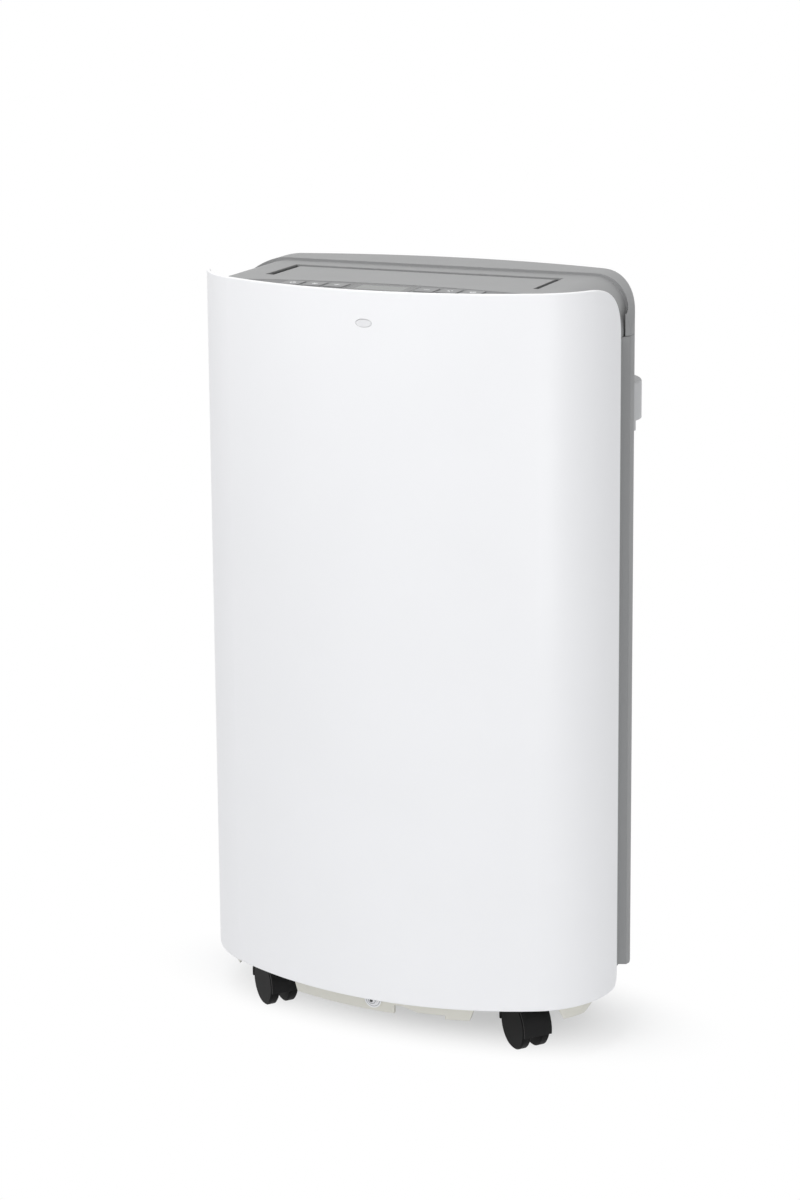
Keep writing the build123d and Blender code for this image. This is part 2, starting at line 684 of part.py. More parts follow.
with BuildPart() as display_board:
    block((-board_half, board_half), board_depths, (BOARD_Z, BOARD_TOP))
    on_strip(0, open_half[0] - FIT, open_half[1] - FIT, (BOARD_TOP, window_base - FIT))
    for x in key_places:
        on_strip(x, SWITCH / 2, SWITCH / 2, (BOARD_TOP, SWITCH_TOP))

lip_top = STRIP_BASE - FIT
keys = {}
for number, x in enumerate(key_places, 1):
    with BuildPart() as key:
        on_strip(x, KEY_WIDTH / 2, key_reach, (lip_top, STRIP_TOP + KEY_PROUD))
        fillet(key.edges().filter_by(Axis.Z), KEY_CORNER)
        chamfer(key.faces().sort_by(Axis.Z)[-1].edges(), KEY_PROUD / 2)
        on_strip(x, KEY_WIDTH / 2 + KEY_LIP, key_reach + KEY_LIP, (lip_top - KEY_LIP_THICK, lip_top))
        rod_z(KEY_STEM, x, KEY_DEPTH, (SWITCH_TOP + KEY_TRAVEL + KEY_STEM_GAP, lip_top))
    keys[f"key_{number}"] = key.part

# Outlet flap hinged at its rear edge, ribbed underneath
with BuildPart() as outlet_flap:
    flap_front = OUTLET_FRONT + FIT
    nose_front = HINGE_DEPTH - FLAP_NOSE
    with BuildSketch(side_view(0)):
        with BuildLine():
            Polyline(
                (HINGE_DEPTH, FLAP_TOP),
                (flap_front + FLAP_EDGE, FLAP_TOP),
                (flap_front, FLAP_TOP - FLAP_EDGE),
                (flap_front, FLAP_TOP - FLAP_THICK),
                (nose_front, FLAP_TOP - FLAP_THICK),
                (nose_front, HINGE_Z),
            )
            CenterArc((HINGE_DEPTH, HINGE_Z), FLAP_NOSE, 180, 270)
        make_face()
    extrude(amount=FLAP_HALF, both=True)
    pin_end = DUCT_HALF + DUCT_WALL
    rod_x(FLAP_PIN, (-pin_end, pin_end + PIN_REACH), HINGE_DEPTH, HINGE_Z)
    bay_pitch = 2 * FLAP_HALF / FLAP_BAYS
    bay_depths = (flap_front + FLAP_RIB, nose_front - FLAP_RIB)
    for bay in range(FLAP_BAYS):
        bay_x = around(bay_pitch * (bay + 0.5) - FLAP_HALF, (bay_pitch - FLAP_RIB) / 2)
        block(bay_x, bay_depths, (HINGE_Z - FLAP_NOSE, FLAP_TOP - FLAP_SKIN), mode=Mode.SUBTRACT)


# Outlet duct: a lofted throat from the scroll, and a box that carries the vanes and the flap
def throat(z, x, depth, grow):
    with BuildSketch(plan_view(z)) as section:
        with Locations(((x[0] + x[1]) / 2, (depth[0] + depth[1]) / 2)):
            Rectangle(x[1] - x[0] + 2 * grow, depth[1] - depth[0] + 2 * grow)
    return section.sketch


throat_z = EVAP_Z + EVAP_OUT
throat_x = (EVAP_X + SCROLL_SPAN[0], EVAP_X + SCROLL_SPAN[1])
box_x = (-DUCT_HALF, DUCT_HALF)
box_depths = (DUCT_FRONT, DUCT_REAR)
vane_places = [VANE_PITCH * (i - (VANE_COUNT - 1) / 2) for i in range(VANE_COUNT)]
with BuildPart() as outlet_duct:
    outer_box = throat(DUCT_BOX_Z, box_x, box_depths, DUCT_WALL)
    inner_box = throat(DUCT_BOX_Z, box_x, box_depths, 0)
    loft([throat(throat_z, throat_x, SCROLL_DEPTHS, DUCT_WALL), outer_box])
    extrude(outer_box, amount=DUCT_TOP - DUCT_BOX_Z)
    loft([throat(throat_z, throat_x, SCROLL_DEPTHS, 0), inner_box], mode=Mode.SUBTRACT)
    extrude(inner_box, amount=HEIGHT, mode=Mode.SUBTRACT)
    rod_x(FLAP_PIN + RUNNING, (-2 * DUCT_HALF, 2 * DUCT_HALF), HINGE_DEPTH, HINGE_Z, mode=Mode.SUBTRACT)
    for x in vane_places:
        rod_y(VANE_PIN + RUNNING, x, (0, BODY_DEPTH), VANE_AXIS_Z, mode=Mode.SUBTRACT)

# Swing vanes on pins through the duct, each with a crank pin for the link
crank_z = VANE_AXIS_Z - CRANK
vanes = {}
for number, x in enumerate(vane_places, 1):
    with BuildPart() as vane:
        blade_x = around(x, VANE_THICK / 2)
        blade_depths = (DUCT_FRONT + VANE_GAP, DUCT_REAR - VANE_GAP)
        behind_link = (LINK_DEPTH + LINK_THICK / 2 + VANE_GAP, blade_depths[1])
        block(blade_x, blade_depths, (VANE_AXIS_Z - VANE_HEEL, VANE_AXIS_Z + VANE_HALF))
        block(blade_x, behind_link, (VANE_AXIS_Z - VANE_HALF, VANE_AXIS_Z))
        rod_y(VANE_PIN, x, (DUCT_FRONT - DUCT_WALL, DUCT_REAR + DUCT_WALL), VANE_AXIS_Z)
        rod_y(CRANK_PIN, x, (LINK_DEPTH - LINK_THICK, behind_link[0] + CRANK_ROOT), crank_z)
    vanes[f"swing_vane_{number}"] = vane.part

with BuildPart() as vane_link:
    reach = vane_places[-1] + LINK_END
    block((-reach, reach), around(LINK_DEPTH, LINK_THICK / 2), around(crank_z, LINK_HALF))
    slot_z = (crank_z - LINK_SLOT_DOWN, crank_z + LINK_SLOT_UP)
    for x in vane_places:
        block(around(x, CRANK_PIN + LINK_SLOT), around(LINK_DEPTH, LINK_THICK), slot_z, mode=Mode.SUBTRACT)

with BuildPart() as flap_motor:
    bracket_x = (DUCT_HALF + DUCT_WALL, DUCT_HALF + DUCT_WALL + FLAP_BRACKET)
    bracket_z = (HINGE_Z - FLAP_BRACKET_DROP[1], HINGE_Z - FLAP_BRACKET_DROP[0])
    can_x = (bracket_x[1], bracket_x[1] + FLAP_MOTOR_LENGTH)
    rod_x(FLAP_MOTOR, can_x, HINGE_DEPTH, HINGE_Z - FLAP_MOTOR_DROP)
    block(bracket_x, around(HINGE_DEPTH, FLAP_BRACKET_HALF), bracket_z)
    bore_x = (0, bracket_x[0] + PIN_REACH + SHAFT_END_GAP)
    rod_x(FLAP_PIN + RUNNING, bore_x, HINGE_DEPTH, HINGE_Z, mode=Mode.SUBTRACT)


# Blower wheel with forward-curved blades on a back plate, hub and shaft, its axis running back
def blower_wheel(x, z):
    width = BLOWER_BACK - BLOWER_FRONT
    middle_radius = (BLOWER_RADIUS + BLOWER_EYE) / 2
    sweep = 2 * degrees(asin(BLADE_DEPTH / 2 / BLADE_CURVE))
    rim_face = Plane(origin=(x, FRONT + BLOWER_FRONT, z), x_dir=(1, 0, 0), z_dir=(0, 1, 0))
    with BuildSketch() as blade:
        with BuildLine():
            outer = CenterArc((0, -BLADE_CURVE), BLADE_CURVE, 90 - sweep / 2, sweep)
            inner = CenterArc((0, -BLADE_CURVE), BLADE_CURVE - BLADE_THICK, 90 - sweep / 2, sweep)
            Line(outer @ 0, inner @ 0)
            Line(outer @ 1, inner @ 1)
        make_face()
    with BuildPart() as wheel:
        with BuildSketch(rim_face):
            Circle(BLOWER_RADIUS)
        extrude(amount=BLOWER_PLATE)
        with BuildSketch(rim_face.offset(BLOWER_PLATE)):
            with PolarLocations(middle_radius, BLADES):
                add(blade.sketch)
        extrude(amount=width - 2 * BLOWER_PLATE)
        with BuildSketch(rim_face.offset(width - BLOWER_PLATE)):
            Circle(BLOWER_RADIUS)
            Circle(BLOWER_EYE, mode=Mode.SUBTRACT)
        extrude(amount=BLOWER_PLATE)
        with BuildSketch(rim_face):
            Circle(HUB)
        extrude(amount=width / 2)
        with BuildSketch(rim_face.offset(-MOTOR_LENGTH)):
            Circle(SHAFT)
        extrude(amount=MOTOR_LENGTH + width / 2)
    return wheel.part


def blower_scroll(x, z, outlet, floor):
    """A scroll housing with an eye at the back, a shaft hole in front and legs that stand on a floor."""
    place = Location((x, 0, z))
    outer = scroll_view(0, SCROLL_FRONT, outlet).moved(place)
    inner = scroll_view(SCROLL_WALL, SCROLL_FRONT + SCROLL_WALL, outlet + CUT).moved(place)
    leg_depths = (SCROLL_FRONT + SCROLL_LEG_SETBACK, SCROLL_REAR - SCROLL_LEG_SETBACK)
    leg_z = (floor, z - SCROLL_LEG_TOP * SCROLL_START)
    with BuildPart() as scroll:
        extrude(outer, amount=SCROLL_FRONT - SCROLL_REAR)
        for side in (-1, 1):
            block(around(x + side * SCROLL_LEG_X, SCROLL_LEG_HALF), leg_depths, leg_z)
        extrude(inner, amount=SCROLL_FRONT - SCROLL_REAR + 2 * SCROLL_WALL, mode=Mode.SUBTRACT)
        rod_y(BLOWER_EYE - EYE_LIP, x, (SCROLL_DEPTHS[1] - CUT, SCROLL_REAR + CUT), z, mode=Mode.SUBTRACT)
        rod_y(HUB + HUB_GAP, x, (SCROLL_FRONT - CUT, SCROLL_DEPTHS[0] + CUT), z, mode=Mode.SUBTRACT)
    return scroll.part


def blower_motor(x, z):
    """A flanged motor on the front of a scroll, with a bearing cap and a bore for the shaft."""
    flange = SCROLL_FRONT - MOTOR_FLANGE_THICK
    tail = SCROLL_FRONT - MOTOR_LENGTH
    with BuildPart() as motor:
        rod_y(MOTOR_RADIUS, x, (tail, flange), z)
        rod_y(MOTOR_CAP, x, (tail - MOTOR_CAP_HEIGHT, tail), z)
        rod_y(MOTOR_RADIUS + MOTOR_FLANGE, x, (flange, SCROLL_FRONT), z)
        rod_y(SHAFT + RUNNING, x, (tail + SHAFT_END_GAP, SCROLL_FRONT + CUT), z, mode=Mode.SUBTRACT)
    return motor.part


evap_blower = blower_wheel(EVAP_X, EVAP_Z)
cond_blower = blower_wheel(COND_X, COND_Z)
evap_scroll = blower_scroll(EVAP_X, EVAP_Z, EVAP_OUT, PARTITION_TOP)
cond_scroll = blower_scroll(COND_X, COND_Z, COND_OUT, PAN_TOP)
evap_motor = blower_motor(EVAP_X, EVAP_Z)
cond_motor = blower_motor(COND_X, COND_Z)


# Height of a coil's tube, counted up from the lowest
def tube_level(z, level):
    return z[0] + (level + 0.5) * (z[1] - z[0]) / TUBE_LEVELS


# Finned coils: a fin pack between end plates that stand on a floor, with tube ends at both sides
def finned_coil(x, z, floor):
    fin_count = int((x[1] - x[0]) // FIN_PITCH)
    fin_pitch = (x[1] - x[0]) / fin_count
    with BuildPart() as coil:
        block(x, (COIL_FRONT + FIN_DEPTH, COIL_REAR - FIN_DEPTH), z)
        for i in range(1, fin_count):
            block(around(x[0] + i * fin_pitch, FIN_THICK / 2), (COIL_FRONT, COIL_REAR), z)
        for end in (x[0], x[1] - COIL_PLATE):
            block((end, end + COIL_PLATE), (COIL_FRONT, COIL_REAR), (floor, z[1]))
        for row in (NEAR_ROW, FAR_ROW):
            for level in range(TUBE_LEVELS):
                rod_x(TUBE, (x[0] - TUBE, x[1] + TUBE), row, tube_level(z, level))
    return coil.part


evap_coil = finned_coil(EVAP_COIL_SPAN, EVAP_COIL_Z, PARTITION_TOP)
cond_coil = finned_coil(COND_COIL_SPAN, COND_COIL_Z, PAN_TOP)

# Compressor on three rubber grommets, held by studs and nuts
foot_places = []
for angle in FOOT_ANGLES:
    foot_x = COMPRESSOR_X + COMPRESSOR_FOOT * cos(radians(angle))
    foot_places.append((foot_x, COMPRESSOR_DEPTH + COMPRESSOR_FOOT * sin(radians(angle))))

with BuildPart() as compressor:
    rod_z(COMPRESSOR_RADIUS, COMPRESSOR_X, COMPRESSOR_DEPTH, (SHELL_Z, SHELL_TOP))
    fillet(compressor.edges().group_by(Axis.Z)[-1], COMPRESSOR_DOME)
    weld_z = (SHELL_Z + WELD_Z, SHELL_Z + WELD_Z + WELD_HEIGHT)
    rod_z(COMPRESSOR_RADIUS + WELD_PROUD, COMPRESSOR_X, COMPRESSOR_DEPTH, weld_z)
    with BuildSketch(plan_view(FOOT_PLATE_Z)):
        with Locations(*foot_places):
            Circle(GROMMET)
        make_hull()
        with Locations(*foot_places):
            Circle(STUD + FIT, mode=Mode.SUBTRACT)
    extrude(amount=FOOT_PLATE)

with BuildPart() as compressor_grommets:
    for x, depth in foot_places:
        rod_z(GROMMET - GROMMET_WALL_GAP, x, depth, (PAN_TOP, FOOT_PLATE_Z))
        rod_z(STUD + FIT, x, depth, (PAN_TOP, FOOT_PLATE_Z), mode=Mode.SUBTRACT)

with BuildPart() as compressor_nuts:
    with BuildSketch(plan_view(SHELL_Z)):
        with Locations(*foot_places):
            RegularPolygon(NUT, 6)
    extrude(amount=NUT_HEIGHT)
    for x, depth in foot_places:
        rod_z(STUD, x, depth, (PAN_TOP, SHELL_Z + STUD_PROUD))

with BuildPart() as accumulator:
    rod_z(TANK_RADIUS, TANK_X, TANK_DEPTH, (TANK_Z, TANK_TOP))
    fillet(accumulator.edges().filter_by(GeomType.CIRCLE), TANK_DOME)


# Pipes: straight runs and bends between the compressor, the coils and the accumulator
def pipe_run(points):
    with BuildPart() as pipe:
        with BuildLine() as route:
            FilletPolyline(*[(x, FRONT + depth, z) for x, depth, z in points], radius=PIPE_BEND)
        with BuildSketch(Plane(origin=route.line @ 0, z_dir=route.line % 0)):
            Circle(PIPE)
        sweep()
    return pipe.part


over = SHELL_TOP + PIPE_OVER
second_over = over + PIPE_SECOND
under = PARTITION_Z - PIPE_UNDER
discharge_x = COMPRESSOR_X + DISCHARGE_OFFSET
drop_x = COND_COIL_RIGHT + DROP_OFFSET
riser_x = PLENUM_HALF + RISER_OFFSET
liquid_x = EVAP_COIL_HALF + LIQUID_OFFSET
suction_x = EVAP_COIL_HALF + SUCTION_OFFSET
cond_port = COND_COIL_RIGHT + TUBE
evap_port = EVAP_COIL_HALF + TUBE
hot_z = tube_level(COND_COIL_Z, TUBE_LEVELS - 1)
warm_z = tube_level(COND_COIL_Z, 0)
cold_z = tube_level(EVAP_COIL_Z, 0)
cool_z = tube_level(EVAP_COIL_Z, 1)
discharge = [
    (discharge_x, COMPRESSOR_DEPTH, SHELL_TOP),
    (discharge_x, COMPRESSOR_DEPTH, over),
    (discharge_x, NEAR_ROW, over),
    (drop_x, NEAR_ROW, over),
    (drop_x, NEAR_ROW, hot_z),
    (cond_port, NEAR_ROW, hot_z),
]
liquid = [
    (cond_port, FAR_ROW, warm_z),
    (riser_x, FAR_ROW, warm_z),
    (riser_x, FAR_ROW, under),
    (liquid_x, FAR_ROW, under),
    (liquid_x, FAR_ROW, cold_z),
    (evap_port, FAR_ROW, cold_z),
]
suction = [
    (evap_port, NEAR_ROW, cool_z),
    (suction_x, NEAR_ROW, cool_z),
    (suction_x, NEAR_ROW, second_over),
    (TANK_X, TANK_DEPTH, second_over),
    (TANK_X, TANK_DEPTH, TANK_TOP),
]
pipe_runs = [pipe_run(points) for points in (discharge, liquid, suction)]
with BuildPart() as refrigerant_pipes:
    for run in pipe_runs:
        add(run)

with BuildPart() as drip_partition:
    extrude(cover_plan(WALL + FIT, PARTITION_Z), amount=PARTITION_THICK + PARTITION_RIM)
    tray = cover_plan(WALL + FIT + PARTITION_RIM_WALL, PARTITION_TOP)
    extrude(tray, amount=PARTITION_RIM + CUT, mode=Mode.SUBTRACT)
    for x, depth in ((liquid_x, FAR_ROW), (suction_x, NEAR_ROW)):
        rod_z(PIPE + PIPE_HOLE_GAP, x, depth, (PARTITION_Z - CUT, PARTITION_TOP + CUT), mode=Mode.SUBTRACT)

# Exhaust: plenum over the condenser scroll and the hose collar at the back
plenum_x = (-PLENUM_HALF, PLENUM_HALF)
plenum_depths = (PLENUM_FRONT, PLENUM_REAR)
plenum_z = (PLENUM_Z, PARTITION_Z - FIT)
with BuildPart() as exhaust_plenum:
    block(plenum_x, plenum_depths, plenum_z)
    inner_x = (plenum_x[0] + PLENUM_WALL, plenum_x[1] - PLENUM_WALL)
    inner_depths = (plenum_depths[0] + PLENUM_WALL, plenum_depths[1] - PLENUM_WALL)
    inner_z = (plenum_z[0] + PLENUM_WALL, plenum_z[1] - PLENUM_WALL)
    block(inner_x, inner_depths, inner_z, mode=Mode.SUBTRACT)
    inlet_x = (COND_X + SCROLL_SPAN[0], COND_X + SCROLL_SPAN[1])
    block(inlet_x, SCROLL_DEPTHS, (plenum_z[0] - CUT, inner_z[0] + CUT), mode=Mode.SUBTRACT)
    outlet_depths = (inner_depths[1] - CUT, PLENUM_REAR + CUT)
    rod_y(EXHAUST_BORE - PLENUM_LIP, 0, outlet_depths, EXHAUST_Z, mode=Mode.SUBTRACT)

with BuildPart() as exhaust_collar:
    rod_y(COLLAR_RADIUS, 0, (PLENUM_REAR, DEPTH), EXHAUST_Z)
    rod_y(COLLAR_FLANGE, 0, (COLLAR_SEAT, COLLAR_SEAT + COLLAR_FLANGE_THICK), EXHAUST_Z)
    rod_y(EXHAUST_BORE, 0, (PLENUM_REAR - CUT, DEPTH + CUT), EXHAUST_Z, mode=Mode.SUBTRACT)

# Grey rear cover with two filter windows, a flat seat for the collar and a heel that drops to the back
with BuildPart() as rear_cover:
    extrude(cover_plan(0, COVER_HEEL_Z), amount=SEAM_Z - SEAM_GAP - COVER_HEEL_Z)
    rod_y(COLLAR_FLANGE + COLLAR_SEAT_EDGE, 0, (REAR_CORNER_DEPTH, COLLAR_SEAT), EXHAUST_Z)
    extrude(cover_plan(WALL, COVER_HEEL_Z), amount=SEAM_Z, mode=Mode.SUBTRACT)
    cut_x = (-PANEL_HALF_WIDTH, PANEL_HALF_WIDTH)
    block(cut_x, (-CUT, COVER_START), (0, HEIGHT), mode=Mode.SUBTRACT)
    with BuildSketch(side_view(-RIM_HALF_WIDTH)):
        with BuildLine():
            Polyline(
                (0, COVER_HEEL_Z),
                (0, COVER_FOOT_Z),
                (CREASE_DEPTH, COVER_FOOT_Z),
                (COVER_HEEL_DEPTH, COVER_HEEL_Z),
                close=True,
            )
        make_face()
    extrude(amount=2 * RIM_HALF_WIDTH, mode=Mode.SUBTRACT)
    rod_y(COLLAR_RADIUS + FIT, 0, (REAR_CORNER_DEPTH, DEPTH), EXHAUST_Z, mode=Mode.SUBTRACT)
    window_x = around(0, FILTER_HALF + SLIDE)
    for low, high in (UPPER_FILTER, LOWER_FILTER):
        block(window_x, (REAR_CORNER_DEPTH, DEPTH), (low - SLIDE, high + SLIDE), mode=Mode.SUBTRACT)


# Filter cassettes: a bowed grille with slots in columns on a rim, and a mesh behind it
def filter_grille(z):
    height = z[1] - z[0]
    rows = int((height - 2 * GRILLE_FRAME) // GRILLE_PITCH)
    column = (2 * FILTER_HALF - 2 * GRILLE_FRAME) / GRILLE_COLUMNS
    rim = rear_band(GRILLE_THICK - FILTER_LAND, GRILLE_THICK + FILTER_LEG, FILTER_HALF, z[0])
    inner_half = FILTER_HALF - FILTER_RIM
    hollow = rear_band(GRILLE_THICK, GRILLE_THICK + 2 * FILTER_LEG, inner_half, z[0] + FILTER_RIM)
    with BuildPart() as grille:
        extrude(rear_band(0, GRILLE_THICK, FILTER_HALF, z[0]), amount=height)
        extrude(rim, amount=height)
        extrude(hollow, amount=height - 2 * FILTER_RIM, mode=Mode.SUBTRACT)
        with BuildSketch(front_view(DEPTH)):
            with Locations((0, (z[0] + z[1]) / 2)):
                with GridLocations(column, GRILLE_PITCH, GRILLE_COLUMNS, rows):
                    Rectangle(column - GRILLE_FRAME, GRILLE_SLOT)
        extrude(amount=DEPTH - REAR_CORNER_DEPTH, mode=Mode.SUBTRACT)
    return grille.part


def filter_mesh(z):
    near = GRILLE_THICK + MESH_SETBACK
    edge = FILTER_RIM + FIT
    with BuildPart() as mesh:
        net = rear_band(near, near + MESH_THICK, FILTER_HALF - edge, z[0] + edge)
        extrude(net, amount=z[1] - z[0] - 2 * edge)
    return mesh.part


# Hooded grips on the rear corners, open underneath for the fingers
def side_handle(side):
    angle = radians(HANDLE_ANGLE)
    outward = (side * cos(angle), sin(angle))
    middle = (side * REAR_X + HANDLE_REACH * outward[0], REAR_CORNER_DEPTH + HANDLE_REACH * outward[1])
    lip = (middle[0] + HANDLE_LIP * outward[0], middle[1] + HANDLE_LIP * outward[1])
    with BuildPart() as handle:
        with BuildSketch(plan_view(HANDLE_BOTTOM)):
            with Locations(middle):
                Circle(HANDLE_RADIUS)
        extrude(amount=HANDLE_HEIGHT)
        fillet(handle.edges().group_by(Axis.Z)[-1], HANDLE_EDGE)
        with BuildSketch(plan_view(HANDLE_BOTTOM)):
            with Locations(middle):
                Circle(HANDLE_RADIUS - HANDLE_WALL)
        extrude(amount=HANDLE_HEIGHT - HANDLE_WALL, mode=Mode.SUBTRACT)
        with BuildSketch(plan_view(HANDLE_BOTTOM)):
            with Locations(lip):
                Circle(HANDLE_RADIUS)
        extrude(amount=HANDLE_RELIEF, mode=Mode.SUBTRACT)
        body = cover_plan(-FIT / 2, HANDLE_BOTTOM - CUT)
        extrude(body, amount=HANDLE_HEIGHT + 2 * CUT, mode=Mode.SUBTRACT)
    return handle.part


# Base pan: condensate tray, set-back skirt open at the casters and the sides, sockets and drain spout
caster_places = {
    "front_left": (-CASTER_X, CASTER_FRONT),
    "front_right": (CASTER_X, CASTER_FRONT),
    "rear_left": (-CASTER_X, CASTER_REAR),
    "rear_right": (CASTER_X, CASTER_REAR),
}
skirt_front = COVER_INSET + SKIRT_INSET
skirt_rear = BODY_DEPTH - SKIRT_INSET
drain_front = skirt_front - DRAIN_PROUD
drain_rear = drain_front + DRAIN_LENGTH
recess_x = COVER_HALF - RECESS_INSET
recess_depths = (COVER_START, CREASE_REAR)
with BuildPart() as tray_hollow:
    extrude(cover_plan(2 * WALL + FIT, PAN_TOP), amount=PAN_RIM)
    for side in (-1, 1):
        sill_x = sorted((side * (recess_x - WALL), side * RIM_HALF_WIDTH))
        sill_depths = (recess_depths[0] - WALL, recess_depths[1] + WALL)
        block(sill_x, sill_depths, (PAN_FLOOR, RECESS_Z + WALL), mode=Mode.SUBTRACT)

with BuildPart() as base_pan:
    extrude(cover_plan(WALL + FIT, PAN_FLOOR), amount=PAN_RIM)
    add(tray_hollow.part, mode=Mode.SUBTRACT)
    extrude(cover_plan(SKIRT_INSET, SKIRT_Z), amount=SKIRT_DROP)
    extrude(cover_plan(SKIRT_INSET + SKIRT_WALL, SKIRT_Z), amount=SKIRT_DROP, mode=Mode.SUBTRACT)
    with BuildSketch(front_view(-CUT)):
        with BuildLine():
            Polyline(
                (NOTCH_SPAN[0], SKIRT_Z - CUT),
                (NOTCH_SPAN[0], SKIRT_Z + NOTCH_PEAK[1]),
                (NOTCH_PEAK[0], SKIRT_Z + NOTCH_PEAK[1]),
                (NOTCH_STEP[0], SKIRT_Z + NOTCH_STEP[1]),
                (NOTCH_SPAN[1], SKIRT_Z + NOTCH_STEP[1]),
                (NOTCH_SPAN[1], SKIRT_Z - CUT),
                close=True,
            )
        make_face()
    extrude(amount=-CASTER_FRONT, mode=Mode.SUBTRACT)
    for side in (-1, 1):
        open_x = sorted((side * recess_x, side * RIM_HALF_WIDTH))
        block(open_x, recess_depths, (PAN_FLOOR - CUT, RECESS_Z), mode=Mode.SUBTRACT)
        with BuildSketch(front_view(-CUT)):
            with BuildLine():
                Polyline(
                    (side * (CASTER_X - WELL_INNER), PAN_FLOOR),
                    (side * (CASTER_X + WELL_OUTER), PAN_FLOOR),
                    (side * (CASTER_X + WELL_OUTER + WELL_DRAFT), SKIRT_Z),
                    (side * (CASTER_X - WELL_INNER - WELL_DRAFT), SKIRT_Z),
                    close=True,
                )
            make_face()
        extrude(amount=-DEPTH, mode=Mode.SUBTRACT)
    with BuildSketch(side_view(-PANEL_HALF_WIDTH)):
        with BuildLine():
            Polyline(
                (SKIRT_SIDE, SKIRT_Z),
                (SKIRT_SIDE + SKIRT_SLOPE, PAN_FLOOR),
                (BODY_DEPTH - SKIRT_BACK, PAN_FLOOR),
                (BODY_DEPTH - SKIRT_BACK, SKIRT_Z),
                close=True,
            )
        make_face()
    extrude(amount=2 * PANEL_HALF_WIDTH, mode=Mode.SUBTRACT)
    for x, depth in caster_places.values():
        rod_z(STEM + SOCKET_WALL, x, depth, (PAN_FLOOR, STEM_TOP))
        rod_z(STEM + RUNNING, x, depth, (PAN_FLOOR - CUT, STEM_TOP + CUT), mode=Mode.SUBTRACT)
    rod_y(DRAIN_RING, DRAIN_X, (drain_front, drain_rear), DRAIN_Z)
    rod_y(DRAIN_BORE, DRAIN_X, (drain_front - CUT, drain_rear - DRAIN_WALL), DRAIN_Z, mode=Mode.SUBTRACT)
    drain_hole_depth = drain_rear - DRAIN_WALL - DRAIN_HOLE - CUT
    rod_z(DRAIN_HOLE, DRAIN_X, drain_hole_depth, (DRAIN_Z, PAN_TOP + CUT), mode=Mode.SUBTRACT)
    rod_y(GLAND_RADIUS, GLAND_X, (CASTER_REAR, BODY_DEPTH), GLAND_Z, mode=Mode.SUBTRACT)

with BuildPart() as drain_plug:
    head_front = drain_front - PLUG_HEAD
    rod_y(DRAIN_RING - PLUG_LIP, DRAIN_X, (head_front, drain_front), DRAIN_Z)
    rod_y(DRAIN_BORE - RUNNING, DRAIN_X, (drain_front, drain_front + PLUG_LENGTH), DRAIN_Z)
    rod_y(PLUG_GRIP, DRAIN_X, (head_front - PLUG_GRIP_HEIGHT, head_front), DRAIN_Z)

# Cord gland in the rear of the skirt
gland_face = skirt_rear - (REAR_RADIUS - (REAR_RADIUS**2 - GLAND_X**2) ** 0.5) + GLAND_PROUD
with BuildPart() as cord_gland:
    rod_y(GLAND_RADIUS - FIT / 2, GLAND_X, (gland_face - GLAND_LENGTH, gland_face), GLAND_Z)
    rod_y(GLAND_RADIUS + GLAND_LIP, GLAND_X, (gland_face, gland_face + GLAND_HEAD), GLAND_Z)
    bore_depths = (gland_face - GLAND_LENGTH - CUT, gland_face + GLAND_HEAD + CUT)
    rod_y(GLAND_BORE, GLAND_X, bore_depths, GLAND_Z, mode=Mode.SUBTRACT)

# One caster, made at the stem's foot: a hood on a web, a swivel stem and an axle hole
with BuildPart() as caster_model:
    with Locations((0, CASTER_TRAIL, AXLE_Z)):
        Cylinder(HOOD_OUTER, 2 * HOOD_HALF, rotation=(0, 90, 0))
        Cylinder(HOOD_INNER, 3 * HOOD_HALF, rotation=(0, 90, 0), mode=Mode.SUBTRACT)
        Cylinder(HOOD_INNER + HOOD_WALL / 2, WEB, rotation=(0, 90, 0))
    with Locations((0, CASTER_TRAIL, AXLE_Z - HOOD_OUTER)):
        Box(3 * HOOD_HALF, 3 * HOOD_OUTER, 2 * (HOOD_OUTER - HOOD_SKIRT), mode=Mode.SUBTRACT)
    with Locations((0, CASTER_TRAIL, AXLE_Z)):
        Cylinder(AXLE + AXLE_BOSS, WEB, rotation=(0, 90, 0))
        Cylinder(AXLE + RUNNING, 3 * HOOD_HALF, rotation=(0, 90, 0), mode=Mode.SUBTRACT)
    with Locations((0, 0, AXLE_Z + HOOD_INNER + AXLE_GRIP)):
        Cylinder(STEM + STEM_COLLAR, STEM_COLLAR_HEIGHT)
    with Locations((0, 0, (AXLE_Z + HOOD_INNER + STEM_TOP) / 2)):
        Cylinder(STEM, STEM_TOP - AXLE_Z - HOOD_INNER)

# Its pair of wheels on one axle
with BuildPart() as wheel_model:
    for side in (-1, 1):
        with Locations((side * (HOOD_HALF - TREAD / 2), CASTER_TRAIL, AXLE_Z)):
            Cylinder(WHEEL_DIA / 2, TREAD, rotation=(0, 90, 0))
    chamfer(wheel_model.edges().filter_by(GeomType.CIRCLE), TREAD_EDGE)
    with Locations((0, CASTER_TRAIL, AXLE_Z)):
        Cylinder(AXLE, WEB + 2 * AXLE_GRIP, rotation=(0, 90, 0))

# The four casters, turned as they stand
caster_turn = (cos(radians(CASTER_TURN)), sin(radians(CASTER_TURN)), 0)
casters = {}
for corner, (x, depth) in caster_places.items():
    stand = Plane(origin=(x, FRONT + depth, 0), x_dir=caster_turn, z_dir=(0, 0, 1))
    with BuildPart() as caster:
        with Locations(stand.location):
            add(caster_model.part)
    with BuildPart() as caster_wheels:
        with Locations(stand.location):
            add(wheel_model.part)
    casters[f"caster_{corner}"] = caster.part
    casters[f"wheels_{corner}"] = caster_wheels.part

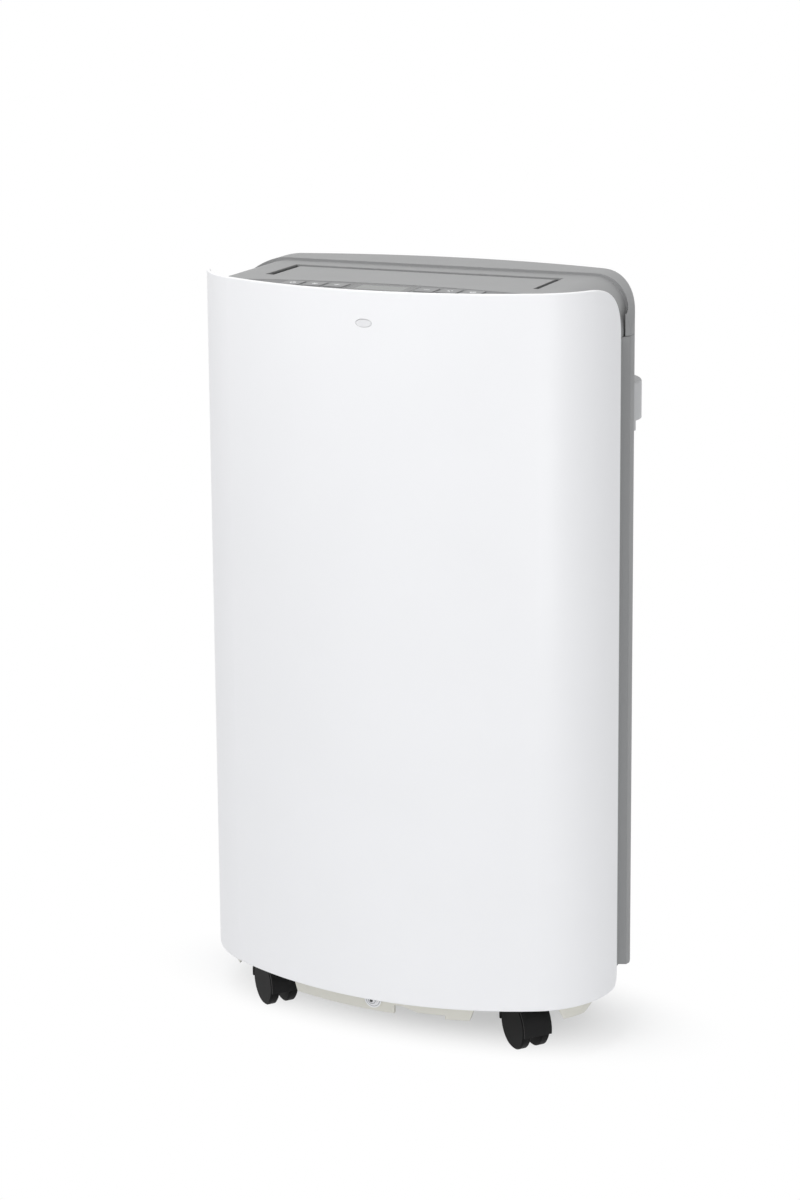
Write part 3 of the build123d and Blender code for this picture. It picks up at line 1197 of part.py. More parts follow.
# Splash wheel that throws condensate on the hot coil, with its motor on the pan
with BuildPart() as splash_motor:
    motor_rear = SPLASH_FRONT + SPLASH_MOTOR_LENGTH
    rod_y(SPLASH_MOTOR, SPLASH_X, (SPLASH_FRONT, motor_rear), SPLASH_Z)
    bracket_depths = (SPLASH_FRONT + SPLASH_BRACKET_EDGE, motor_rear - SPLASH_BRACKET_EDGE)
    block(around(SPLASH_X, SPLASH_BRACKET_HALF), bracket_depths, (PAN_TOP, SPLASH_Z - SPLASH_BRACKET_TOP))
    bore_depths = (motor_rear - SPLASH_SOCKET, motor_rear + CUT)
    rod_y(SPLASH_SHAFT + RUNNING, SPLASH_X, bore_depths, SPLASH_Z, mode=Mode.SUBTRACT)

with BuildPart() as splash_wheel:
    disc_depths = (SPLASH_DISC, SPLASH_DISC + SPLASH_THICK)
    rod_y(SPLASH_RADIUS, SPLASH_X, disc_depths, SPLASH_Z)
    disc = Plane(origin=(SPLASH_X, FRONT + SPLASH_DISC, SPLASH_Z), x_dir=(1, 0, 0), z_dir=(0, 1, 0))
    with BuildSketch(disc):
        with PolarLocations(SPLASH_RADIUS, SPLASH_PADDLES):
            Rectangle(*SPLASH_PADDLE)
    extrude(amount=SPLASH_THICK)
    shaft_depths = (motor_rear - SPLASH_SOCKET + SHAFT_END_GAP, disc_depths[1])
    rod_y(SPLASH_SHAFT, SPLASH_X, shaft_depths, SPLASH_Z)

# Electrical box and run capacitor standing on the partition
with BuildPart() as control_box:
    block(BOX_SPAN, BOX_DEPTHS, (PARTITION_TOP, PARTITION_TOP + BOX_HEIGHT))
    fillet(control_box.edges().filter_by(Axis.Z), BOX_CORNER)
    box_inner = (BOX_SPAN[0] + BOX_WALL, BOX_SPAN[1] - BOX_WALL)
    box_hollow = (BOX_DEPTHS[0] + BOX_LID, BOX_DEPTHS[1] - BOX_WALL)
    box_inner_z = (PARTITION_TOP + BOX_WALL, PARTITION_TOP + BOX_HEIGHT - BOX_WALL)
    block(box_inner, box_hollow, box_inner_z, mode=Mode.SUBTRACT)

capacitor_top = PARTITION_TOP + CAPACITOR_HEIGHT
with BuildPart() as run_capacitor:
    rod_z(CAPACITOR_RADIUS, CAPACITOR_X, CAPACITOR_DEPTH, (PARTITION_TOP, capacitor_top))
    chamfer(run_capacitor.edges().group_by(Axis.Z)[-1], CAPACITOR_EDGE)
    for side in (-1, 1):
        lug_x = around(CAPACITOR_X + side * LUG_X, LUG_HALF)
        lug_z = (capacitor_top, capacitor_top + LUG_HEIGHT)
        block(lug_x, around(CAPACITOR_DEPTH, LUG_THICK / 2), lug_z)

pieces = {
    "front_panel": front_panel.part,
    "sensor_window": sensor_window.part,
    "top_cover": top_cover.part,
    "control_panel": control_panel.part,
    "display_window": display_window.part,
    "display_board": display_board.part,
    **keys,
    "outlet_flap": outlet_flap.part,
    "outlet_duct": outlet_duct.part,
    **vanes,
    "vane_link": vane_link.part,
    "flap_motor": flap_motor.part,
    "evap_blower": evap_blower,
    "evap_scroll": evap_scroll,
    "evap_motor": evap_motor,
    "cond_blower": cond_blower,
    "cond_scroll": cond_scroll,
    "cond_motor": cond_motor,
    "evaporator_coil": evap_coil,
    "condenser_coil": cond_coil,
    "compressor": compressor.part,
    "compressor_grommets": compressor_grommets.part,
    "compressor_nuts": compressor_nuts.part,
    "accumulator": accumulator.part,
    "refrigerant_pipes": refrigerant_pipes.part,
    "drip_partition": drip_partition.part,
    "exhaust_plenum": exhaust_plenum.part,
    "exhaust_collar": exhaust_collar.part,
    "rear_cover": rear_cover.part,
    "upper_filter_grille": filter_grille(UPPER_FILTER),
    "upper_filter_mesh": filter_mesh(UPPER_FILTER),
    "lower_filter_grille": filter_grille(LOWER_FILTER),
    "lower_filter_mesh": filter_mesh(LOWER_FILTER),
    "handle_left": side_handle(-1),
    "handle_right": side_handle(1),
    "base_pan": base_pan.part,
    "drain_plug": drain_plug.part,
    "cord_gland": cord_gland.part,
    **casters,
    "splash_motor": splash_motor.part,
    "splash_wheel": splash_wheel.part,
    "control_box": control_box.part,
    "run_capacitor": run_capacitor.part,
}

# Every piece is written as its own file
for name, piece in pieces.items():
    piece.label = name
    export_step(piece, f"parts/{name}.step")
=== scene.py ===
import json
from math import asin, cos, pi, radians, sin

import bpy
from mathutils import Matrix, Vector


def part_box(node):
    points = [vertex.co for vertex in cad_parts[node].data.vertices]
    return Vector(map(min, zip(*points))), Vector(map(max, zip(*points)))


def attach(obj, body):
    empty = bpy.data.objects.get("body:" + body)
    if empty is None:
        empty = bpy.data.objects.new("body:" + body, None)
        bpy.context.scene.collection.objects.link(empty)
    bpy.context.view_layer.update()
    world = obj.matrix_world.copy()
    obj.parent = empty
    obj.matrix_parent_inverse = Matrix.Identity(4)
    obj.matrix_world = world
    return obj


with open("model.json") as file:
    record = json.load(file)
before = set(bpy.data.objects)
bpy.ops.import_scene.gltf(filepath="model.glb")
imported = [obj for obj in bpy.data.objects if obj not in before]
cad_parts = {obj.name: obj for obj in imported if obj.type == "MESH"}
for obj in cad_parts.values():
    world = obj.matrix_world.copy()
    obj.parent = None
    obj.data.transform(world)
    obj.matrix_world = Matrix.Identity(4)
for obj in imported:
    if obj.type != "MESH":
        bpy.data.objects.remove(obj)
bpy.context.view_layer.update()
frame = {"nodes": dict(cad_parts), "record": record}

# Camera matched to the photograph: lens and frame in millimetres, place in metres
LENS = 74.743
FRAME_SIZE = 36.0
LENS_SHIFT = (0.0, -0.23307)
CAMERA_PLACE = (0.96213, -2.31827, 1.15674)
CAMERA_YAW = radians(22.930)
CAMERA_PITCH = radians(9.4287)
CAMERA_ROLL = radians(0.457)

# Light: the sky's strength away from and on its dim side, and boxes as place, aim, size and watts
SKY_DIM_SIDE = (0.62, 0.78, 0.05)
SKY_STRENGTH = (0.75, 0.57)
SOFTBOXES = {
    "front box": ((-0.1, -0.9, 2.3), (0.0, 0.0, 0.78), 0.8, 20.5),
    "right box": ((1.2, -1.3, 0.2), (0.2, 0.0, 0.2), 0.7, 4.2),
}

# Floor: near and far are a distance, in a stretched and moved space, and the share of plain white there
FLOOR_SIZE = 60.0
FLOOR_COLOUR = (0.82, 0.835, 0.86)
FLOOR_ROUGHNESS = 0.8
FLOOR_DRIFT = 0.004
FLOOR_GLOSS = 0.1
FLOOR_SPREAD = (1.0, 2.6, 1.0)
FLOOR_SHIFT = (0.0, -0.065, 0.0)
FLOOR_NEAR = (0.10, 0.42)
FLOOR_FAR = (0.345, 1.0)

# Finishes in linear colour
WHITE = (0.86, 0.86, 0.87)
SHELL_GREY = (0.288, 0.290, 0.292)
GRIP_GREY = (0.52, 0.525, 0.53)
STRIP_GREY = (0.160, 0.162, 0.164)
KEY_GREY = (0.185, 0.187, 0.190)
SENSOR_GREY = (0.76, 0.76, 0.77)
LCD_GREY = (0.142, 0.150, 0.144)
LCD_FRAME = (0.060, 0.062, 0.064)
CREAM = (0.73, 0.716, 0.65)
DARK = (0.045, 0.045, 0.048)
INNER = (0.30, 0.31, 0.32)
HOOD_BLACK = (0.0120, 0.0120, 0.0123)
WHEEL_BLACK = (0.0050, 0.0050, 0.0052)
BLACK_PAINT = (0.02, 0.02, 0.022)
STEEL = (0.52, 0.53, 0.54)
ALUMINIUM = (0.72, 0.73, 0.75)
COPPER = (0.72, 0.36, 0.22)
BOARD_GREEN = (0.03, 0.16, 0.06)
BOARD_TRACE = (0.06, 0.26, 0.11)
NET_GREY = (0.05, 0.05, 0.055)
MARK_WHITE = (0.86, 0.87, 0.88)
RING_GREY = (0.42, 0.42, 0.43)

# Textures: scales per metre, roughness as a span, relief as a strength and a depth, edge radii in metres
DRIFT_SCALE = 9.0
GRAIN_SCALE = 1400.0
GRAIN_DEPTH = 0.0002
EDGE_SAMPLES = 4
ROUGHNESS_SWING = 0.04
ROUGHNESS_SCALE = 30.0
METAL_DRIFT = 0.05
METAL_SWING = 0.06
METAL_SCALE = 60.0
METAL_GRAIN = 0.08
METAL_GRAIN_SCALE = 500.0
METAL_EDGE = 0.0004
FIN_SCALE = 90.0
# Share of the aluminium colour kept in the bands between fins, which are painted shade
FIN_GAP_PAINTED_SHADE = 0.45
FIN_ROUGHNESS = (0.30, 0.42)
FIN_ROUGHNESS_SCALE = 40.0
FIN_RELIEF = (0.5, 0.0006)
FIN_EDGE = 0.0003
NET_SCALE = 160.0
# Shares of the net grey in the spaces, painted darker as shade, and on the threads
NET_GAP_SHADE_AND_THREAD_TONE = (0.4, 2.0)
NET_ROUGHNESS = (0.55, 0.70)
NET_ROUGHNESS_SCALE = 200.0
NET_RELIEF = (0.6, 0.0004)
NET_EDGE = 0.0002
BOARD_SCALE = 220.0
BOARD_SHADE = 0.8
BOARD_ROUGHNESS = (0.3, 0.4)
BOARD_ROUGHNESS_SCALE = 80.0
BOARD_RELIEF = (0.2, 0.0001)
BOARD_EDGE = 0.0003
LCD_GLOSS = 0.2
LCD_ROUGHNESS = (0.22, 0.28)
LCD_ROUGHNESS_SCALE = 60.0
LCD_GRAIN_SCALE = 300.0
LCD_RELIEF = (0.02, 0.0001)
LCD_EDGE = 0.0003

# Places of the mix node's sockets
MIX_FACTOR = 0
MIX_NUMBERS = (2, 3)
MIX_NUMBER_OUT = 0
MIX_COLOURS = (6, 7)
MIX_COLOUR_OUT = 2

# Display margins, key symbols, drain rings and screws, in metres and degrees
LCD_MARGIN = (0.0095, 0.0068)
MARK_RADIUS = 0.0032
MARK_LINE = 0.0013
MARK_LIFT = 0.00004
RING_STEPS = 24
FULL_TURN = 360
POWER_ARC = (120, 420)
POWER_STEM_UP = 0.75
COOLING_BARS = 3
FAN_BLADES = 3
FAN_BLADE_SWEEP = 60
FAN_STEPS = 6
SCREW_RADIUS = 0.0034
SCREW_HEIGHT = 0.0008
SCREW_SIDES = 20
# Screw cross: the length and width of its arms and its lift above the head; the dark cross is painted
# shade for the recess
SCREW_CROSS_SHADE = (0.0040, 0.0009)
SCREW_SHADE_LIFT = 0.00003
DRAIN_FACE_BACK = 0.0045
DRAIN_BANDS = {"inner": (0.0057, 0.0074), "line": (0.0074, 0.0081), "outer": (0.0081, 0.0095)}
PLUG_STEPS = (0.0018, 0.0034, 0.0044)
COVER_SCREW_X = 0.155
COVER_SCREW_Z = (0.095, 0.300, 0.475, 0.715)
COVER_BOW_RADIUS = 0.6084


# Materials: every finish is a principled shader fed by procedural textures in object space
def new_material(name):
    material = bpy.data.materials.new(name)
    material.use_nodes = True
    return material, material.node_tree.nodes["Principled BSDF"]


def add_node(material, kind, **values):
    node = material.node_tree.nodes.new(kind)
    for name, value in values.items():
        if name in node.inputs:
            node.inputs[name].default_value = value
        else:
            setattr(node, name, value)
    return node


def wire(material, source, target):
    material.node_tree.links.new(source, target)


def place(material):
    return add_node(material, "ShaderNodeTexCoord").outputs["Object"]


def noise(material, scale, detail=2.0):
    texture = add_node(material, "ShaderNodeTexNoise", Scale=scale, Detail=detail)
    wire(material, place(material), texture.inputs["Vector"])
    return texture.outputs["Fac"]


def blend_colours(material, factor, *colours):
    """A blend of two colours, each written as a tuple or taken from another node."""
    mix = add_node(material, "ShaderNodeMix", data_type="RGBA")
    wire(material, factor, mix.inputs[MIX_FACTOR])
    for socket, colour in zip(MIX_COLOURS, colours):
        if isinstance(colour, tuple):
            mix.inputs[socket].default_value = (*colour, 1.0)
        else:
            wire(material, colour, mix.inputs[socket])
    return mix.outputs[MIX_COLOUR_OUT]


def tinted(colour, share):
    return tuple(min(1.0, channel * share) for channel in colour)


def mottle(material, shader, colour, spread, scale):
    """A base colour that drifts a little over the surface."""
    shades = (tinted(colour, 1 - spread), tinted(colour, 1 + spread))
    drift = blend_colours(material, noise(material, scale), *shades)
    wire(material, drift, shader.inputs["Base Color"])


def vary_roughness(material, shader, span, scale):
    spread = add_node(material, "ShaderNodeMapRange")
    spread.inputs["To Min"].default_value, spread.inputs["To Max"].default_value = span
    wire(material, noise(material, scale), spread.inputs["Value"])
    wire(material, spread.outputs["Result"], shader.inputs["Roughness"])


def grain(material, shader, height, relief, edge):
    """Fine relief on top of softly rounded edges."""
    strength, depth = relief
    soft = add_node(material, "ShaderNodeBevel", Radius=edge, samples=EDGE_SAMPLES)
    bump = add_node(material, "ShaderNodeBump", Strength=strength, Distance=depth)
    wire(material, soft.outputs["Normal"], bump.inputs["Normal"])
    wire(material, height, bump.inputs["Height"])
    wire(material, bump.outputs["Normal"], shader.inputs["Normal"])


def around(middle, swing):
    return (middle - swing, middle + swing)


def plastic(name, colour, roughness, texture=0.1, edge=0.0006, spread=0.015, gloss=0.5):
    material, shader = new_material(name)
    shader.inputs["Specular IOR Level"].default_value = gloss
    mottle(material, shader, colour, spread, DRIFT_SCALE)
    vary_roughness(material, shader, around(roughness, ROUGHNESS_SWING), ROUGHNESS_SCALE)
    grain(material, shader, noise(material, GRAIN_SCALE, detail=1.0), (texture, GRAIN_DEPTH), edge)
    return material


def metal(name, colour, roughness):
    material, shader = new_material(name)
    shader.inputs["Metallic"].default_value = 1.0
    mottle(material, shader, colour, METAL_DRIFT, METAL_SCALE)
    vary_roughness(material, shader, around(roughness, METAL_SWING), METAL_SCALE)
    grain(material, shader, noise(material, METAL_GRAIN_SCALE), (METAL_GRAIN, GRAIN_DEPTH), METAL_EDGE)
    return material


def bands(material, axis, scale):
    wave = add_node(material, "ShaderNodeTexWave", Scale=scale, bands_direction=axis)
    wire(material, place(material), wave.inputs["Vector"])
    return wave.outputs["Fac"]


def fins(name):
    """Thin aluminium fins side by side, with darker bands of painted shade in the gaps between them."""
    material, shader = new_material(name)
    shader.inputs["Metallic"].default_value = 1.0
    ribs = bands(material, "X", FIN_SCALE)
    # Low bands between the ribs are darkened as painted shade in the gaps
    shade = blend_colours(material, ribs, tinted(ALUMINIUM, FIN_GAP_PAINTED_SHADE), ALUMINIUM)
    wire(material, shade, shader.inputs["Base Color"])
    vary_roughness(material, shader, FIN_ROUGHNESS, FIN_ROUGHNESS_SCALE)
    grain(material, shader, ribs, FIN_RELIEF, FIN_EDGE)
    return material


def net(name):
    """A woven filter net: grey threads, with the spaces between them painted darker as shade."""
    material, shader = new_material(name)
    weave = add_node(material, "ShaderNodeMath", operation="MAXIMUM")
    wire(material, bands(material, "X", NET_SCALE), weave.inputs[0])
    wire(material, bands(material, "Z", NET_SCALE), weave.inputs[1])
    threads = weave.outputs["Value"]
    # Threads take the lighter tone, and the spaces between them the darker one as painted shade
    shade = blend_colours(material, threads, *(tinted(NET_GREY, share) for share in NET_GAP_SHADE_AND_THREAD_TONE))
    wire(material, shade, shader.inputs["Base Color"])
    vary_roughness(material, shader, NET_ROUGHNESS, NET_ROUGHNESS_SCALE)
    grain(material, shader, threads, NET_RELIEF, NET_EDGE)
    return material


def board(name):
    """Green solder mask over a pattern of traces."""
    material, shader = new_material(name)
    traces = add_node(material, "ShaderNodeTexBrick", Scale=BOARD_SCALE)
    traces.inputs["Color1"].default_value = (*BOARD_GREEN, 1.0)
    traces.inputs["Color2"].default_value = (*tinted(BOARD_GREEN, BOARD_SHADE), 1.0)
    traces.inputs["Mortar"].default_value = (*BOARD_TRACE, 1.0)
    wire(material, place(material), traces.inputs["Vector"])
    wire(material, traces.outputs["Color"], shader.inputs["Base Color"])
    vary_roughness(material, shader, BOARD_ROUGHNESS, BOARD_ROUGHNESS_SCALE)
    grain(material, shader, traces.outputs["Fac"], BOARD_RELIEF, BOARD_EDGE)
    return material


def inside_span(material, value, low, high):
    """1 where a coordinate lies in a span."""
    middle = add_node(material, "ShaderNodeMath", operation="COMPARE")
    middle.inputs[1].default_value = (low + high) / 2
    middle.inputs[2].default_value = (high - low) / 2
    wire(material, value, middle.inputs[0])
    return middle.outputs["Value"]


def display(name, node):
    """A dark frame round a pale liquid crystal field, drawn from the window's own size."""
    low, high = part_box(node)
    material, shader = new_material(name)
    shader.inputs["Specular IOR Level"].default_value = LCD_GLOSS
    split = add_node(material, "ShaderNodeSeparateXYZ")
    wire(material, place(material), split.inputs["Vector"])
    field = add_node(material, "ShaderNodeMath", operation="MULTIPLY")
    across = inside_span(material, split.outputs["X"], low.x + LCD_MARGIN[0], high.x - LCD_MARGIN[0])
    along = inside_span(material, split.outputs["Y"], low.y + LCD_MARGIN[1], high.y - LCD_MARGIN[1])
    wire(material, across, field.inputs[0])
    wire(material, along, field.inputs[1])
    shade = blend_colours(material, field.outputs["Value"], LCD_FRAME, LCD_GREY)
    wire(material, shade, shader.inputs["Base Color"])
    vary_roughness(material, shader, LCD_ROUGHNESS, LCD_ROUGHNESS_SCALE)
    grain(material, shader, noise(material, LCD_GRAIN_SCALE), LCD_RELIEF, LCD_EDGE)
    return material


def ringed_plug(name, node):
    """Pale and grey rings round a dark grip, drawn about the plug's own axis."""
    low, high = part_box(node)
    material = plastic(name, WHITE, 0.4, texture=0.04)
    shader = material.node_tree.nodes["Principled BSDF"]
    offset = add_node(material, "ShaderNodeVectorMath", operation="SUBTRACT")
    offset.inputs[1].default_value = ((low.x + high.x) / 2, 0.0, (low.z + high.z) / 2)
    wire(material, place(material), offset.inputs[0])
    flat = add_node(material, "ShaderNodeVectorMath", operation="MULTIPLY")
    flat.inputs[1].default_value = (1.0, 0.0, 1.0)
    wire(material, offset.outputs["Vector"], flat.inputs[0])
    reach = add_node(material, "ShaderNodeVectorMath", operation="LENGTH")
    wire(material, flat.outputs["Vector"], reach.inputs[0])
    grip = inside_span(material, reach.outputs["Value"], 0.0, PLUG_STEPS[0])
    line = inside_span(material, reach.outputs["Value"], PLUG_STEPS[1], PLUG_STEPS[2])
    ringed = blend_colours(material, line, WHITE, RING_GREY)
    gripped = blend_colours(material, grip, ringed, DARK)
    wire(material, gripped, shader.inputs["Base Color"])
    return material


def seen_as_background(owner):
    """1 for rays that show the surroundings, straight or mirrored, and 0 for rays that light."""
    path = add_node(owner, "ShaderNodeLightPath")
    mirrored = add_node(owner, "ShaderNodeMath", operation="ADD")
    wire(owner, path.outputs["Is Glossy Ray"], mirrored.inputs[0])
    wire(owner, path.outputs["Is Transmission Ray"], mirrored.inputs[1])
    seen = add_node(owner, "ShaderNodeMath", operation="ADD", use_clamp=True)
    wire(owner, path.outputs["Is Camera Ray"], seen.inputs[0])
    wire(owner, mirrored.outputs["Value"], seen.inputs[1])
    return seen.outputs["Value"]


def studio_floor(name):
    """A white floor that keeps a soft shadow near the object and is plain white further out."""
    finish = {"texture": 0.0, "spread": FLOOR_DRIFT, "gloss": FLOOR_GLOSS}
    material = plastic(name, FLOOR_COLOUR, FLOOR_ROUGHNESS, **finish)
    nodes = material.node_tree.nodes
    offset = add_node(material, "ShaderNodeVectorMath", operation="MULTIPLY_ADD")
    offset.inputs[1].default_value = FLOOR_SPREAD
    offset.inputs[2].default_value = FLOOR_SHIFT
    wire(material, place(material), offset.inputs[0])
    reach = add_node(material, "ShaderNodeVectorMath", operation="LENGTH")
    wire(material, offset.outputs["Vector"], reach.inputs[0])
    fade = add_node(material, "ShaderNodeMapRange", interpolation_type="SMOOTHSTEP")
    fade.inputs["From Min"].default_value = FLOOR_NEAR[0]
    fade.inputs["From Max"].default_value = FLOOR_FAR[0]
    fade.inputs["To Min"].default_value = FLOOR_NEAR[1]
    fade.inputs["To Max"].default_value = FLOOR_FAR[1]
    wire(material, reach.outputs["Value"], fade.inputs["Value"])
    share = add_node(material, "ShaderNodeMath", operation="MULTIPLY")
    wire(material, seen_as_background(material), share.inputs[0])
    wire(material, fade.outputs["Result"], share.inputs[1])
    glow = add_node(material, "ShaderNodeEmission")
    mix = add_node(material, "ShaderNodeMixShader")
    wire(material, share.outputs["Value"], mix.inputs[0])
    wire(material, nodes["Principled BSDF"].outputs["BSDF"], mix.inputs[1])
    wire(material, glow.outputs["Emission"], mix.inputs[2])
    wire(material, mix.outputs["Shader"], nodes["Material Output"].inputs["Surface"])
    return material


materials = {
    "white_panel": plastic("panel white", WHITE, 0.36, texture=0.02, edge=0.0008),
    "grey_shell": plastic("shell grey", SHELL_GREY, 0.52, texture=0.12, edge=0.0014, gloss=0.25),
    "light_grey": plastic("grip grey", GRIP_GREY, 0.50, texture=0.12),
    "strip_grey": plastic("strip grey", STRIP_GREY, 0.46, texture=0.05, gloss=0.25),
    "key_grey": plastic("key grey", KEY_GREY, 0.42, texture=0.05, edge=0.0004),
    "cream_plastic": plastic("cream plastic", CREAM, 0.55, texture=0.08),
    "dark_plastic": plastic("dark plastic", DARK, 0.5),
    "inner_plastic": plastic("inner plastic", INNER, 0.55),
    "black_paint": plastic("black paint", BLACK_PAINT, 0.32, texture=0.04),
    "grommet_rubber": plastic("rubber", DARK, 0.75, texture=0.2),
    "caster_plastic": plastic("caster black", HOOD_BLACK, 0.50, texture=0.06, edge=0.0005, gloss=0.12),
    "wheel_plastic": plastic("wheel black", WHEEL_BLACK, 0.52, texture=0.06, edge=0.0005, gloss=0.09),
    "motor_steel": metal("zinc steel", STEEL, 0.38),
    "copper": metal("copper", COPPER, 0.28),
    "fin_aluminium": fins("fins"),
    "filter_net": net("filter net"),
    "circuit_board": board("circuit board"),
    "lens": plastic("sensor lens", SENSOR_GREY, 0.3, texture=0.01),
}
own_looks = {
    "display_window": display("display", "display_window"),
    "drain_plug": ringed_plug("ringed plug", "drain_plug"),
}
mark_paint = plastic("mark print", MARK_WHITE, 0.5, texture=0.02)
ring_white = plastic("ring white", WHITE, 0.4, texture=0.04)
ring_grey = plastic("ring grey", RING_GREY, 0.5, texture=0.04)
screw_steel = metal("screw steel", STEEL, 0.3)
# Dark finish of the flat cross on the screw heads, painted shade for their cross recesses
recess_painted_shade = plastic("screw recess painted shade", DARK, 0.6)

for entry in frame["record"]["subparts"]:
    mesh = frame["nodes"][entry["node"]].data
    mesh.materials.clear()
    mesh.materials.append(own_looks.get(entry["node"]) or materials[entry["material_slot"]])


# Flat pieces made of polygons in a plane: rows of (x, y) points, laid by a matrix
def flat_piece(name, polygons, matrix, material, body):
    mesh = bpy.data.meshes.new(name)
    points = [(x, y, 0.0) for polygon in polygons for x, y in polygon]
    faces = []
    start = 0
    for polygon in polygons:
        faces.append(list(range(start, start + len(polygon))))
        start += len(polygon)
    mesh.from_pydata(points, [], faces)
    mesh.materials.append(material)
    piece = bpy.data.objects.new(name, mesh)
    bpy.context.scene.collection.objects.link(piece)
    piece.matrix_world = matrix
    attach(piece, body)


def bar(length, width, turn=0.0, middle=(0.0, 0.0)):
    along = Vector((cos(turn), sin(turn))) * length / 2
    across = Vector((-sin(turn), cos(turn))) * width / 2
    centre = Vector(middle)
    near, far = centre - along, centre + along
    return [tuple(corner) for corner in (near - across, far - across, far + across, near + across)]


def arc_band(inner, outer, start, end, steps=RING_STEPS):
    """Quads along a ring from one angle to another, in degrees."""
    quads = []
    for i in range(steps):
        a = radians(start + (end - start) * i / steps)
        b = radians(start + (end - start) * (i + 1) / steps)
        quads.append(
            [
                (inner * cos(a), inner * sin(a)),
                (outer * cos(a), outer * sin(a)),
                (outer * cos(b), outer * sin(b)),
                (inner * cos(b), inner * sin(b)),
            ]
        )
    return quads


# Plain symbols: power, cooling, plus, minus, fan and timer
ring_inner = MARK_RADIUS - MARK_LINE
mark_width = 2 * MARK_RADIUS
power = arc_band(ring_inner, MARK_RADIUS, *POWER_ARC)
power.append(bar(MARK_RADIUS, MARK_LINE, pi / 2, (0.0, MARK_RADIUS * POWER_STEM_UP)))
cooling = [bar(mark_width, MARK_LINE, pi * i / COOLING_BARS) for i in range(COOLING_BARS)]
plus = [bar(mark_width, MARK_LINE), bar(mark_width, MARK_LINE, pi / 2)]
minus = [bar(mark_width, MARK_LINE)]
fan = []
for blade in range(FAN_BLADES):
    blade_start = FULL_TURN / FAN_BLADES * blade
    fan += arc_band(MARK_LINE, MARK_RADIUS, blade_start, blade_start + FAN_BLADE_SWEEP, FAN_STEPS)
timer = arc_band(ring_inner, MARK_RADIUS, 0, FULL_TURN)
timer.append(bar(MARK_RADIUS, MARK_LINE, pi / 2, (0.0, MARK_RADIUS / 2)))

for number, symbol in enumerate((power, cooling, plus, minus, fan, timer), 1):
    low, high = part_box(f"key_{number}")
    top = Matrix.Translation(((low.x + high.x) / 2, (low.y + high.y) / 2, high.z + MARK_LIFT))
    flat_piece(f"mark_{number}", symbol, top, mark_paint, f"key_{number}")

# Rings moulded round the drain, on the face behind the plug's head
plug_low, plug_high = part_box("drain_plug")
drain_y = plug_low.y + DRAIN_FACE_BACK - MARK_LIFT
drain_middle = Vector(((plug_low.x + plug_high.x) / 2, drain_y, (plug_low.z + plug_high.z) / 2))
drain_place = Matrix.Translation(drain_middle) @ Matrix.Rotation(pi / 2, 4, "X")
for band, (inner, outer) in DRAIN_BANDS.items():
    paint = ring_grey if band == "line" else ring_white
    ring = arc_band(inner, outer, 0, FULL_TURN)
    flat_piece(f"drain_ring_{band}", ring, drain_place, paint, "cabinet")


# Screw heads with a cross recess, which is not cut but drawn as a flat dark cross of painted shade on
# top of each head
def screw(name, point, normal, body):
    facing = Vector(normal).to_track_quat("Z", "Y").to_matrix().to_4x4()
    seat = Matrix.Translation(point) @ facing
    bpy.ops.mesh.primitive_cylinder_add(vertices=SCREW_SIDES, radius=SCREW_RADIUS, depth=SCREW_HEIGHT)
    head = bpy.context.object
    head.name = name
    head.data.materials.append(screw_steel)
    head.matrix_world = seat @ Matrix.Translation((0.0, 0.0, SCREW_HEIGHT / 2))
    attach(head, body)
    # The dark cross laid just above the head is painted shade for the recess
    cross = [bar(*SCREW_CROSS_SHADE), bar(*SCREW_CROSS_SHADE, pi / 2)]
    over = seat @ Matrix.Translation((0.0, 0.0, SCREW_HEIGHT + SCREW_SHADE_LIFT))
    flat_piece(f"{name}_recess_shade", cross, over, recess_painted_shade, body)


# Screws down both sides of the bowed back, which is deepest at its filter grille
bow_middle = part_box("upper_filter_grille")[1].y
bow_turn = asin(COVER_SCREW_X / COVER_BOW_RADIUS)
screw_y = bow_middle - COVER_BOW_RADIUS * (1 - cos(bow_turn))
for side_name, side in (("left", -1), ("right", 1)):
    normal = (side * sin(bow_turn), cos(bow_turn), 0.0)
    for row, z in enumerate(COVER_SCREW_Z):
        screw(f"cover_screw_{side_name}_{row}", (side * COVER_SCREW_X, screw_y, z), normal, "cabinet")

# Floor
bpy.ops.mesh.primitive_plane_add(size=FLOOR_SIZE)
floor = bpy.context.object
floor.name = "floor"
floor.data.materials.append(studio_floor("floor"))

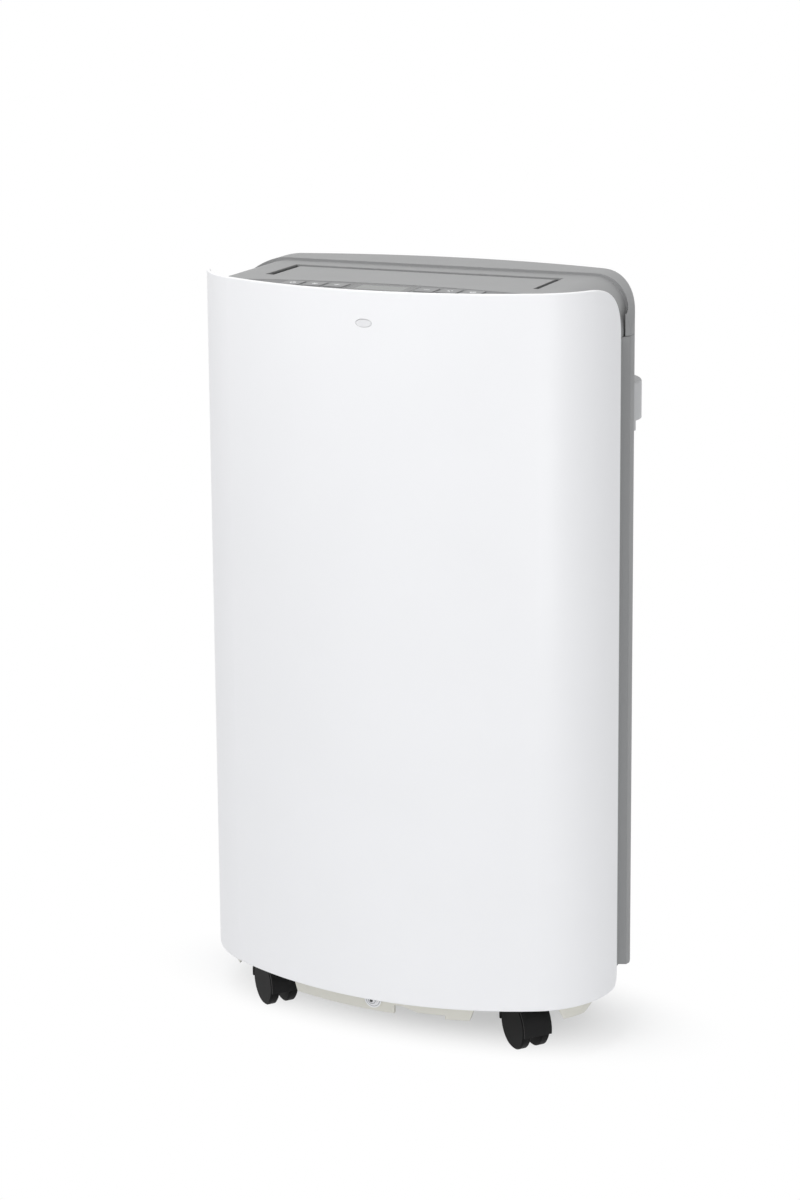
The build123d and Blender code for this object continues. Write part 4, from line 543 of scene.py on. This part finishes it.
# A pale sky, dimmer behind the object on the right, that is plain white where it is seen
world = bpy.data.worlds.new("studio")
bpy.context.scene.world = world
world.use_nodes = True
background = world.node_tree.nodes["Background"]
background.inputs["Color"].default_value = (1.0, 1.0, 1.0, 1.0)
facing = add_node(world, "ShaderNodeVectorMath", operation="DOT_PRODUCT")
facing.inputs[1].default_value = SKY_DIM_SIDE
wire(world, add_node(world, "ShaderNodeTexCoord").outputs["Generated"], facing.inputs[0])
dimming = add_node(world, "ShaderNodeMapRange")
dimming.inputs["From Min"].default_value = -1.0
dimming.inputs["To Min"].default_value, dimming.inputs["To Max"].default_value = SKY_STRENGTH
wire(world, facing.outputs["Value"], dimming.inputs["Value"])
strength = add_node(world, "ShaderNodeMix", data_type="FLOAT")
strength.inputs[MIX_NUMBERS[1]].default_value = 1.0
wire(world, seen_as_background(world), strength.inputs[MIX_FACTOR])
wire(world, dimming.outputs["Result"], strength.inputs[MIX_NUMBERS[0]])
wire(world, strength.outputs[MIX_NUMBER_OUT], background.inputs["Strength"])

# Soft boxes
for name, (source, target, size, watts) in SOFTBOXES.items():
    box = bpy.data.objects.new(name, bpy.data.lights.new(name, "AREA"))
    box.data.size = size
    box.data.energy = watts
    box.location = source
    box.rotation_euler = (Vector(target) - Vector(source)).to_track_quat("-Z", "Y").to_euler()
    bpy.context.scene.collection.objects.link(box)

# Camera, turned by yaw, pitch and roll
camera = bpy.data.objects.new("camera", bpy.data.cameras.new("camera"))
camera.data.lens = LENS
camera.data.sensor_width = FRAME_SIZE
camera.data.shift_x, camera.data.shift_y = LENS_SHIFT
level = Vector((cos(CAMERA_YAW), sin(CAMERA_YAW), 0.0))
ahead = Vector((-sin(CAMERA_YAW), cos(CAMERA_YAW), 0.0))
forward = ahead * cos(CAMERA_PITCH) - Vector((0.0, 0.0, sin(CAMERA_PITCH)))
upward = ahead * sin(CAMERA_PITCH) + Vector((0.0, 0.0, cos(CAMERA_PITCH)))
right = level * cos(CAMERA_ROLL) - upward * sin(CAMERA_ROLL)
up = level * sin(CAMERA_ROLL) + upward * cos(CAMERA_ROLL)
turned = Matrix((right, up, -forward)).transposed().to_4x4()
camera.matrix_world = Matrix.Translation(CAMERA_PLACE) @ turned
bpy.context.scene.collection.objects.link(camera)
bpy.context.scene.camera = camera

bpy.context.scene.view_settings.view_transform = "Standard"
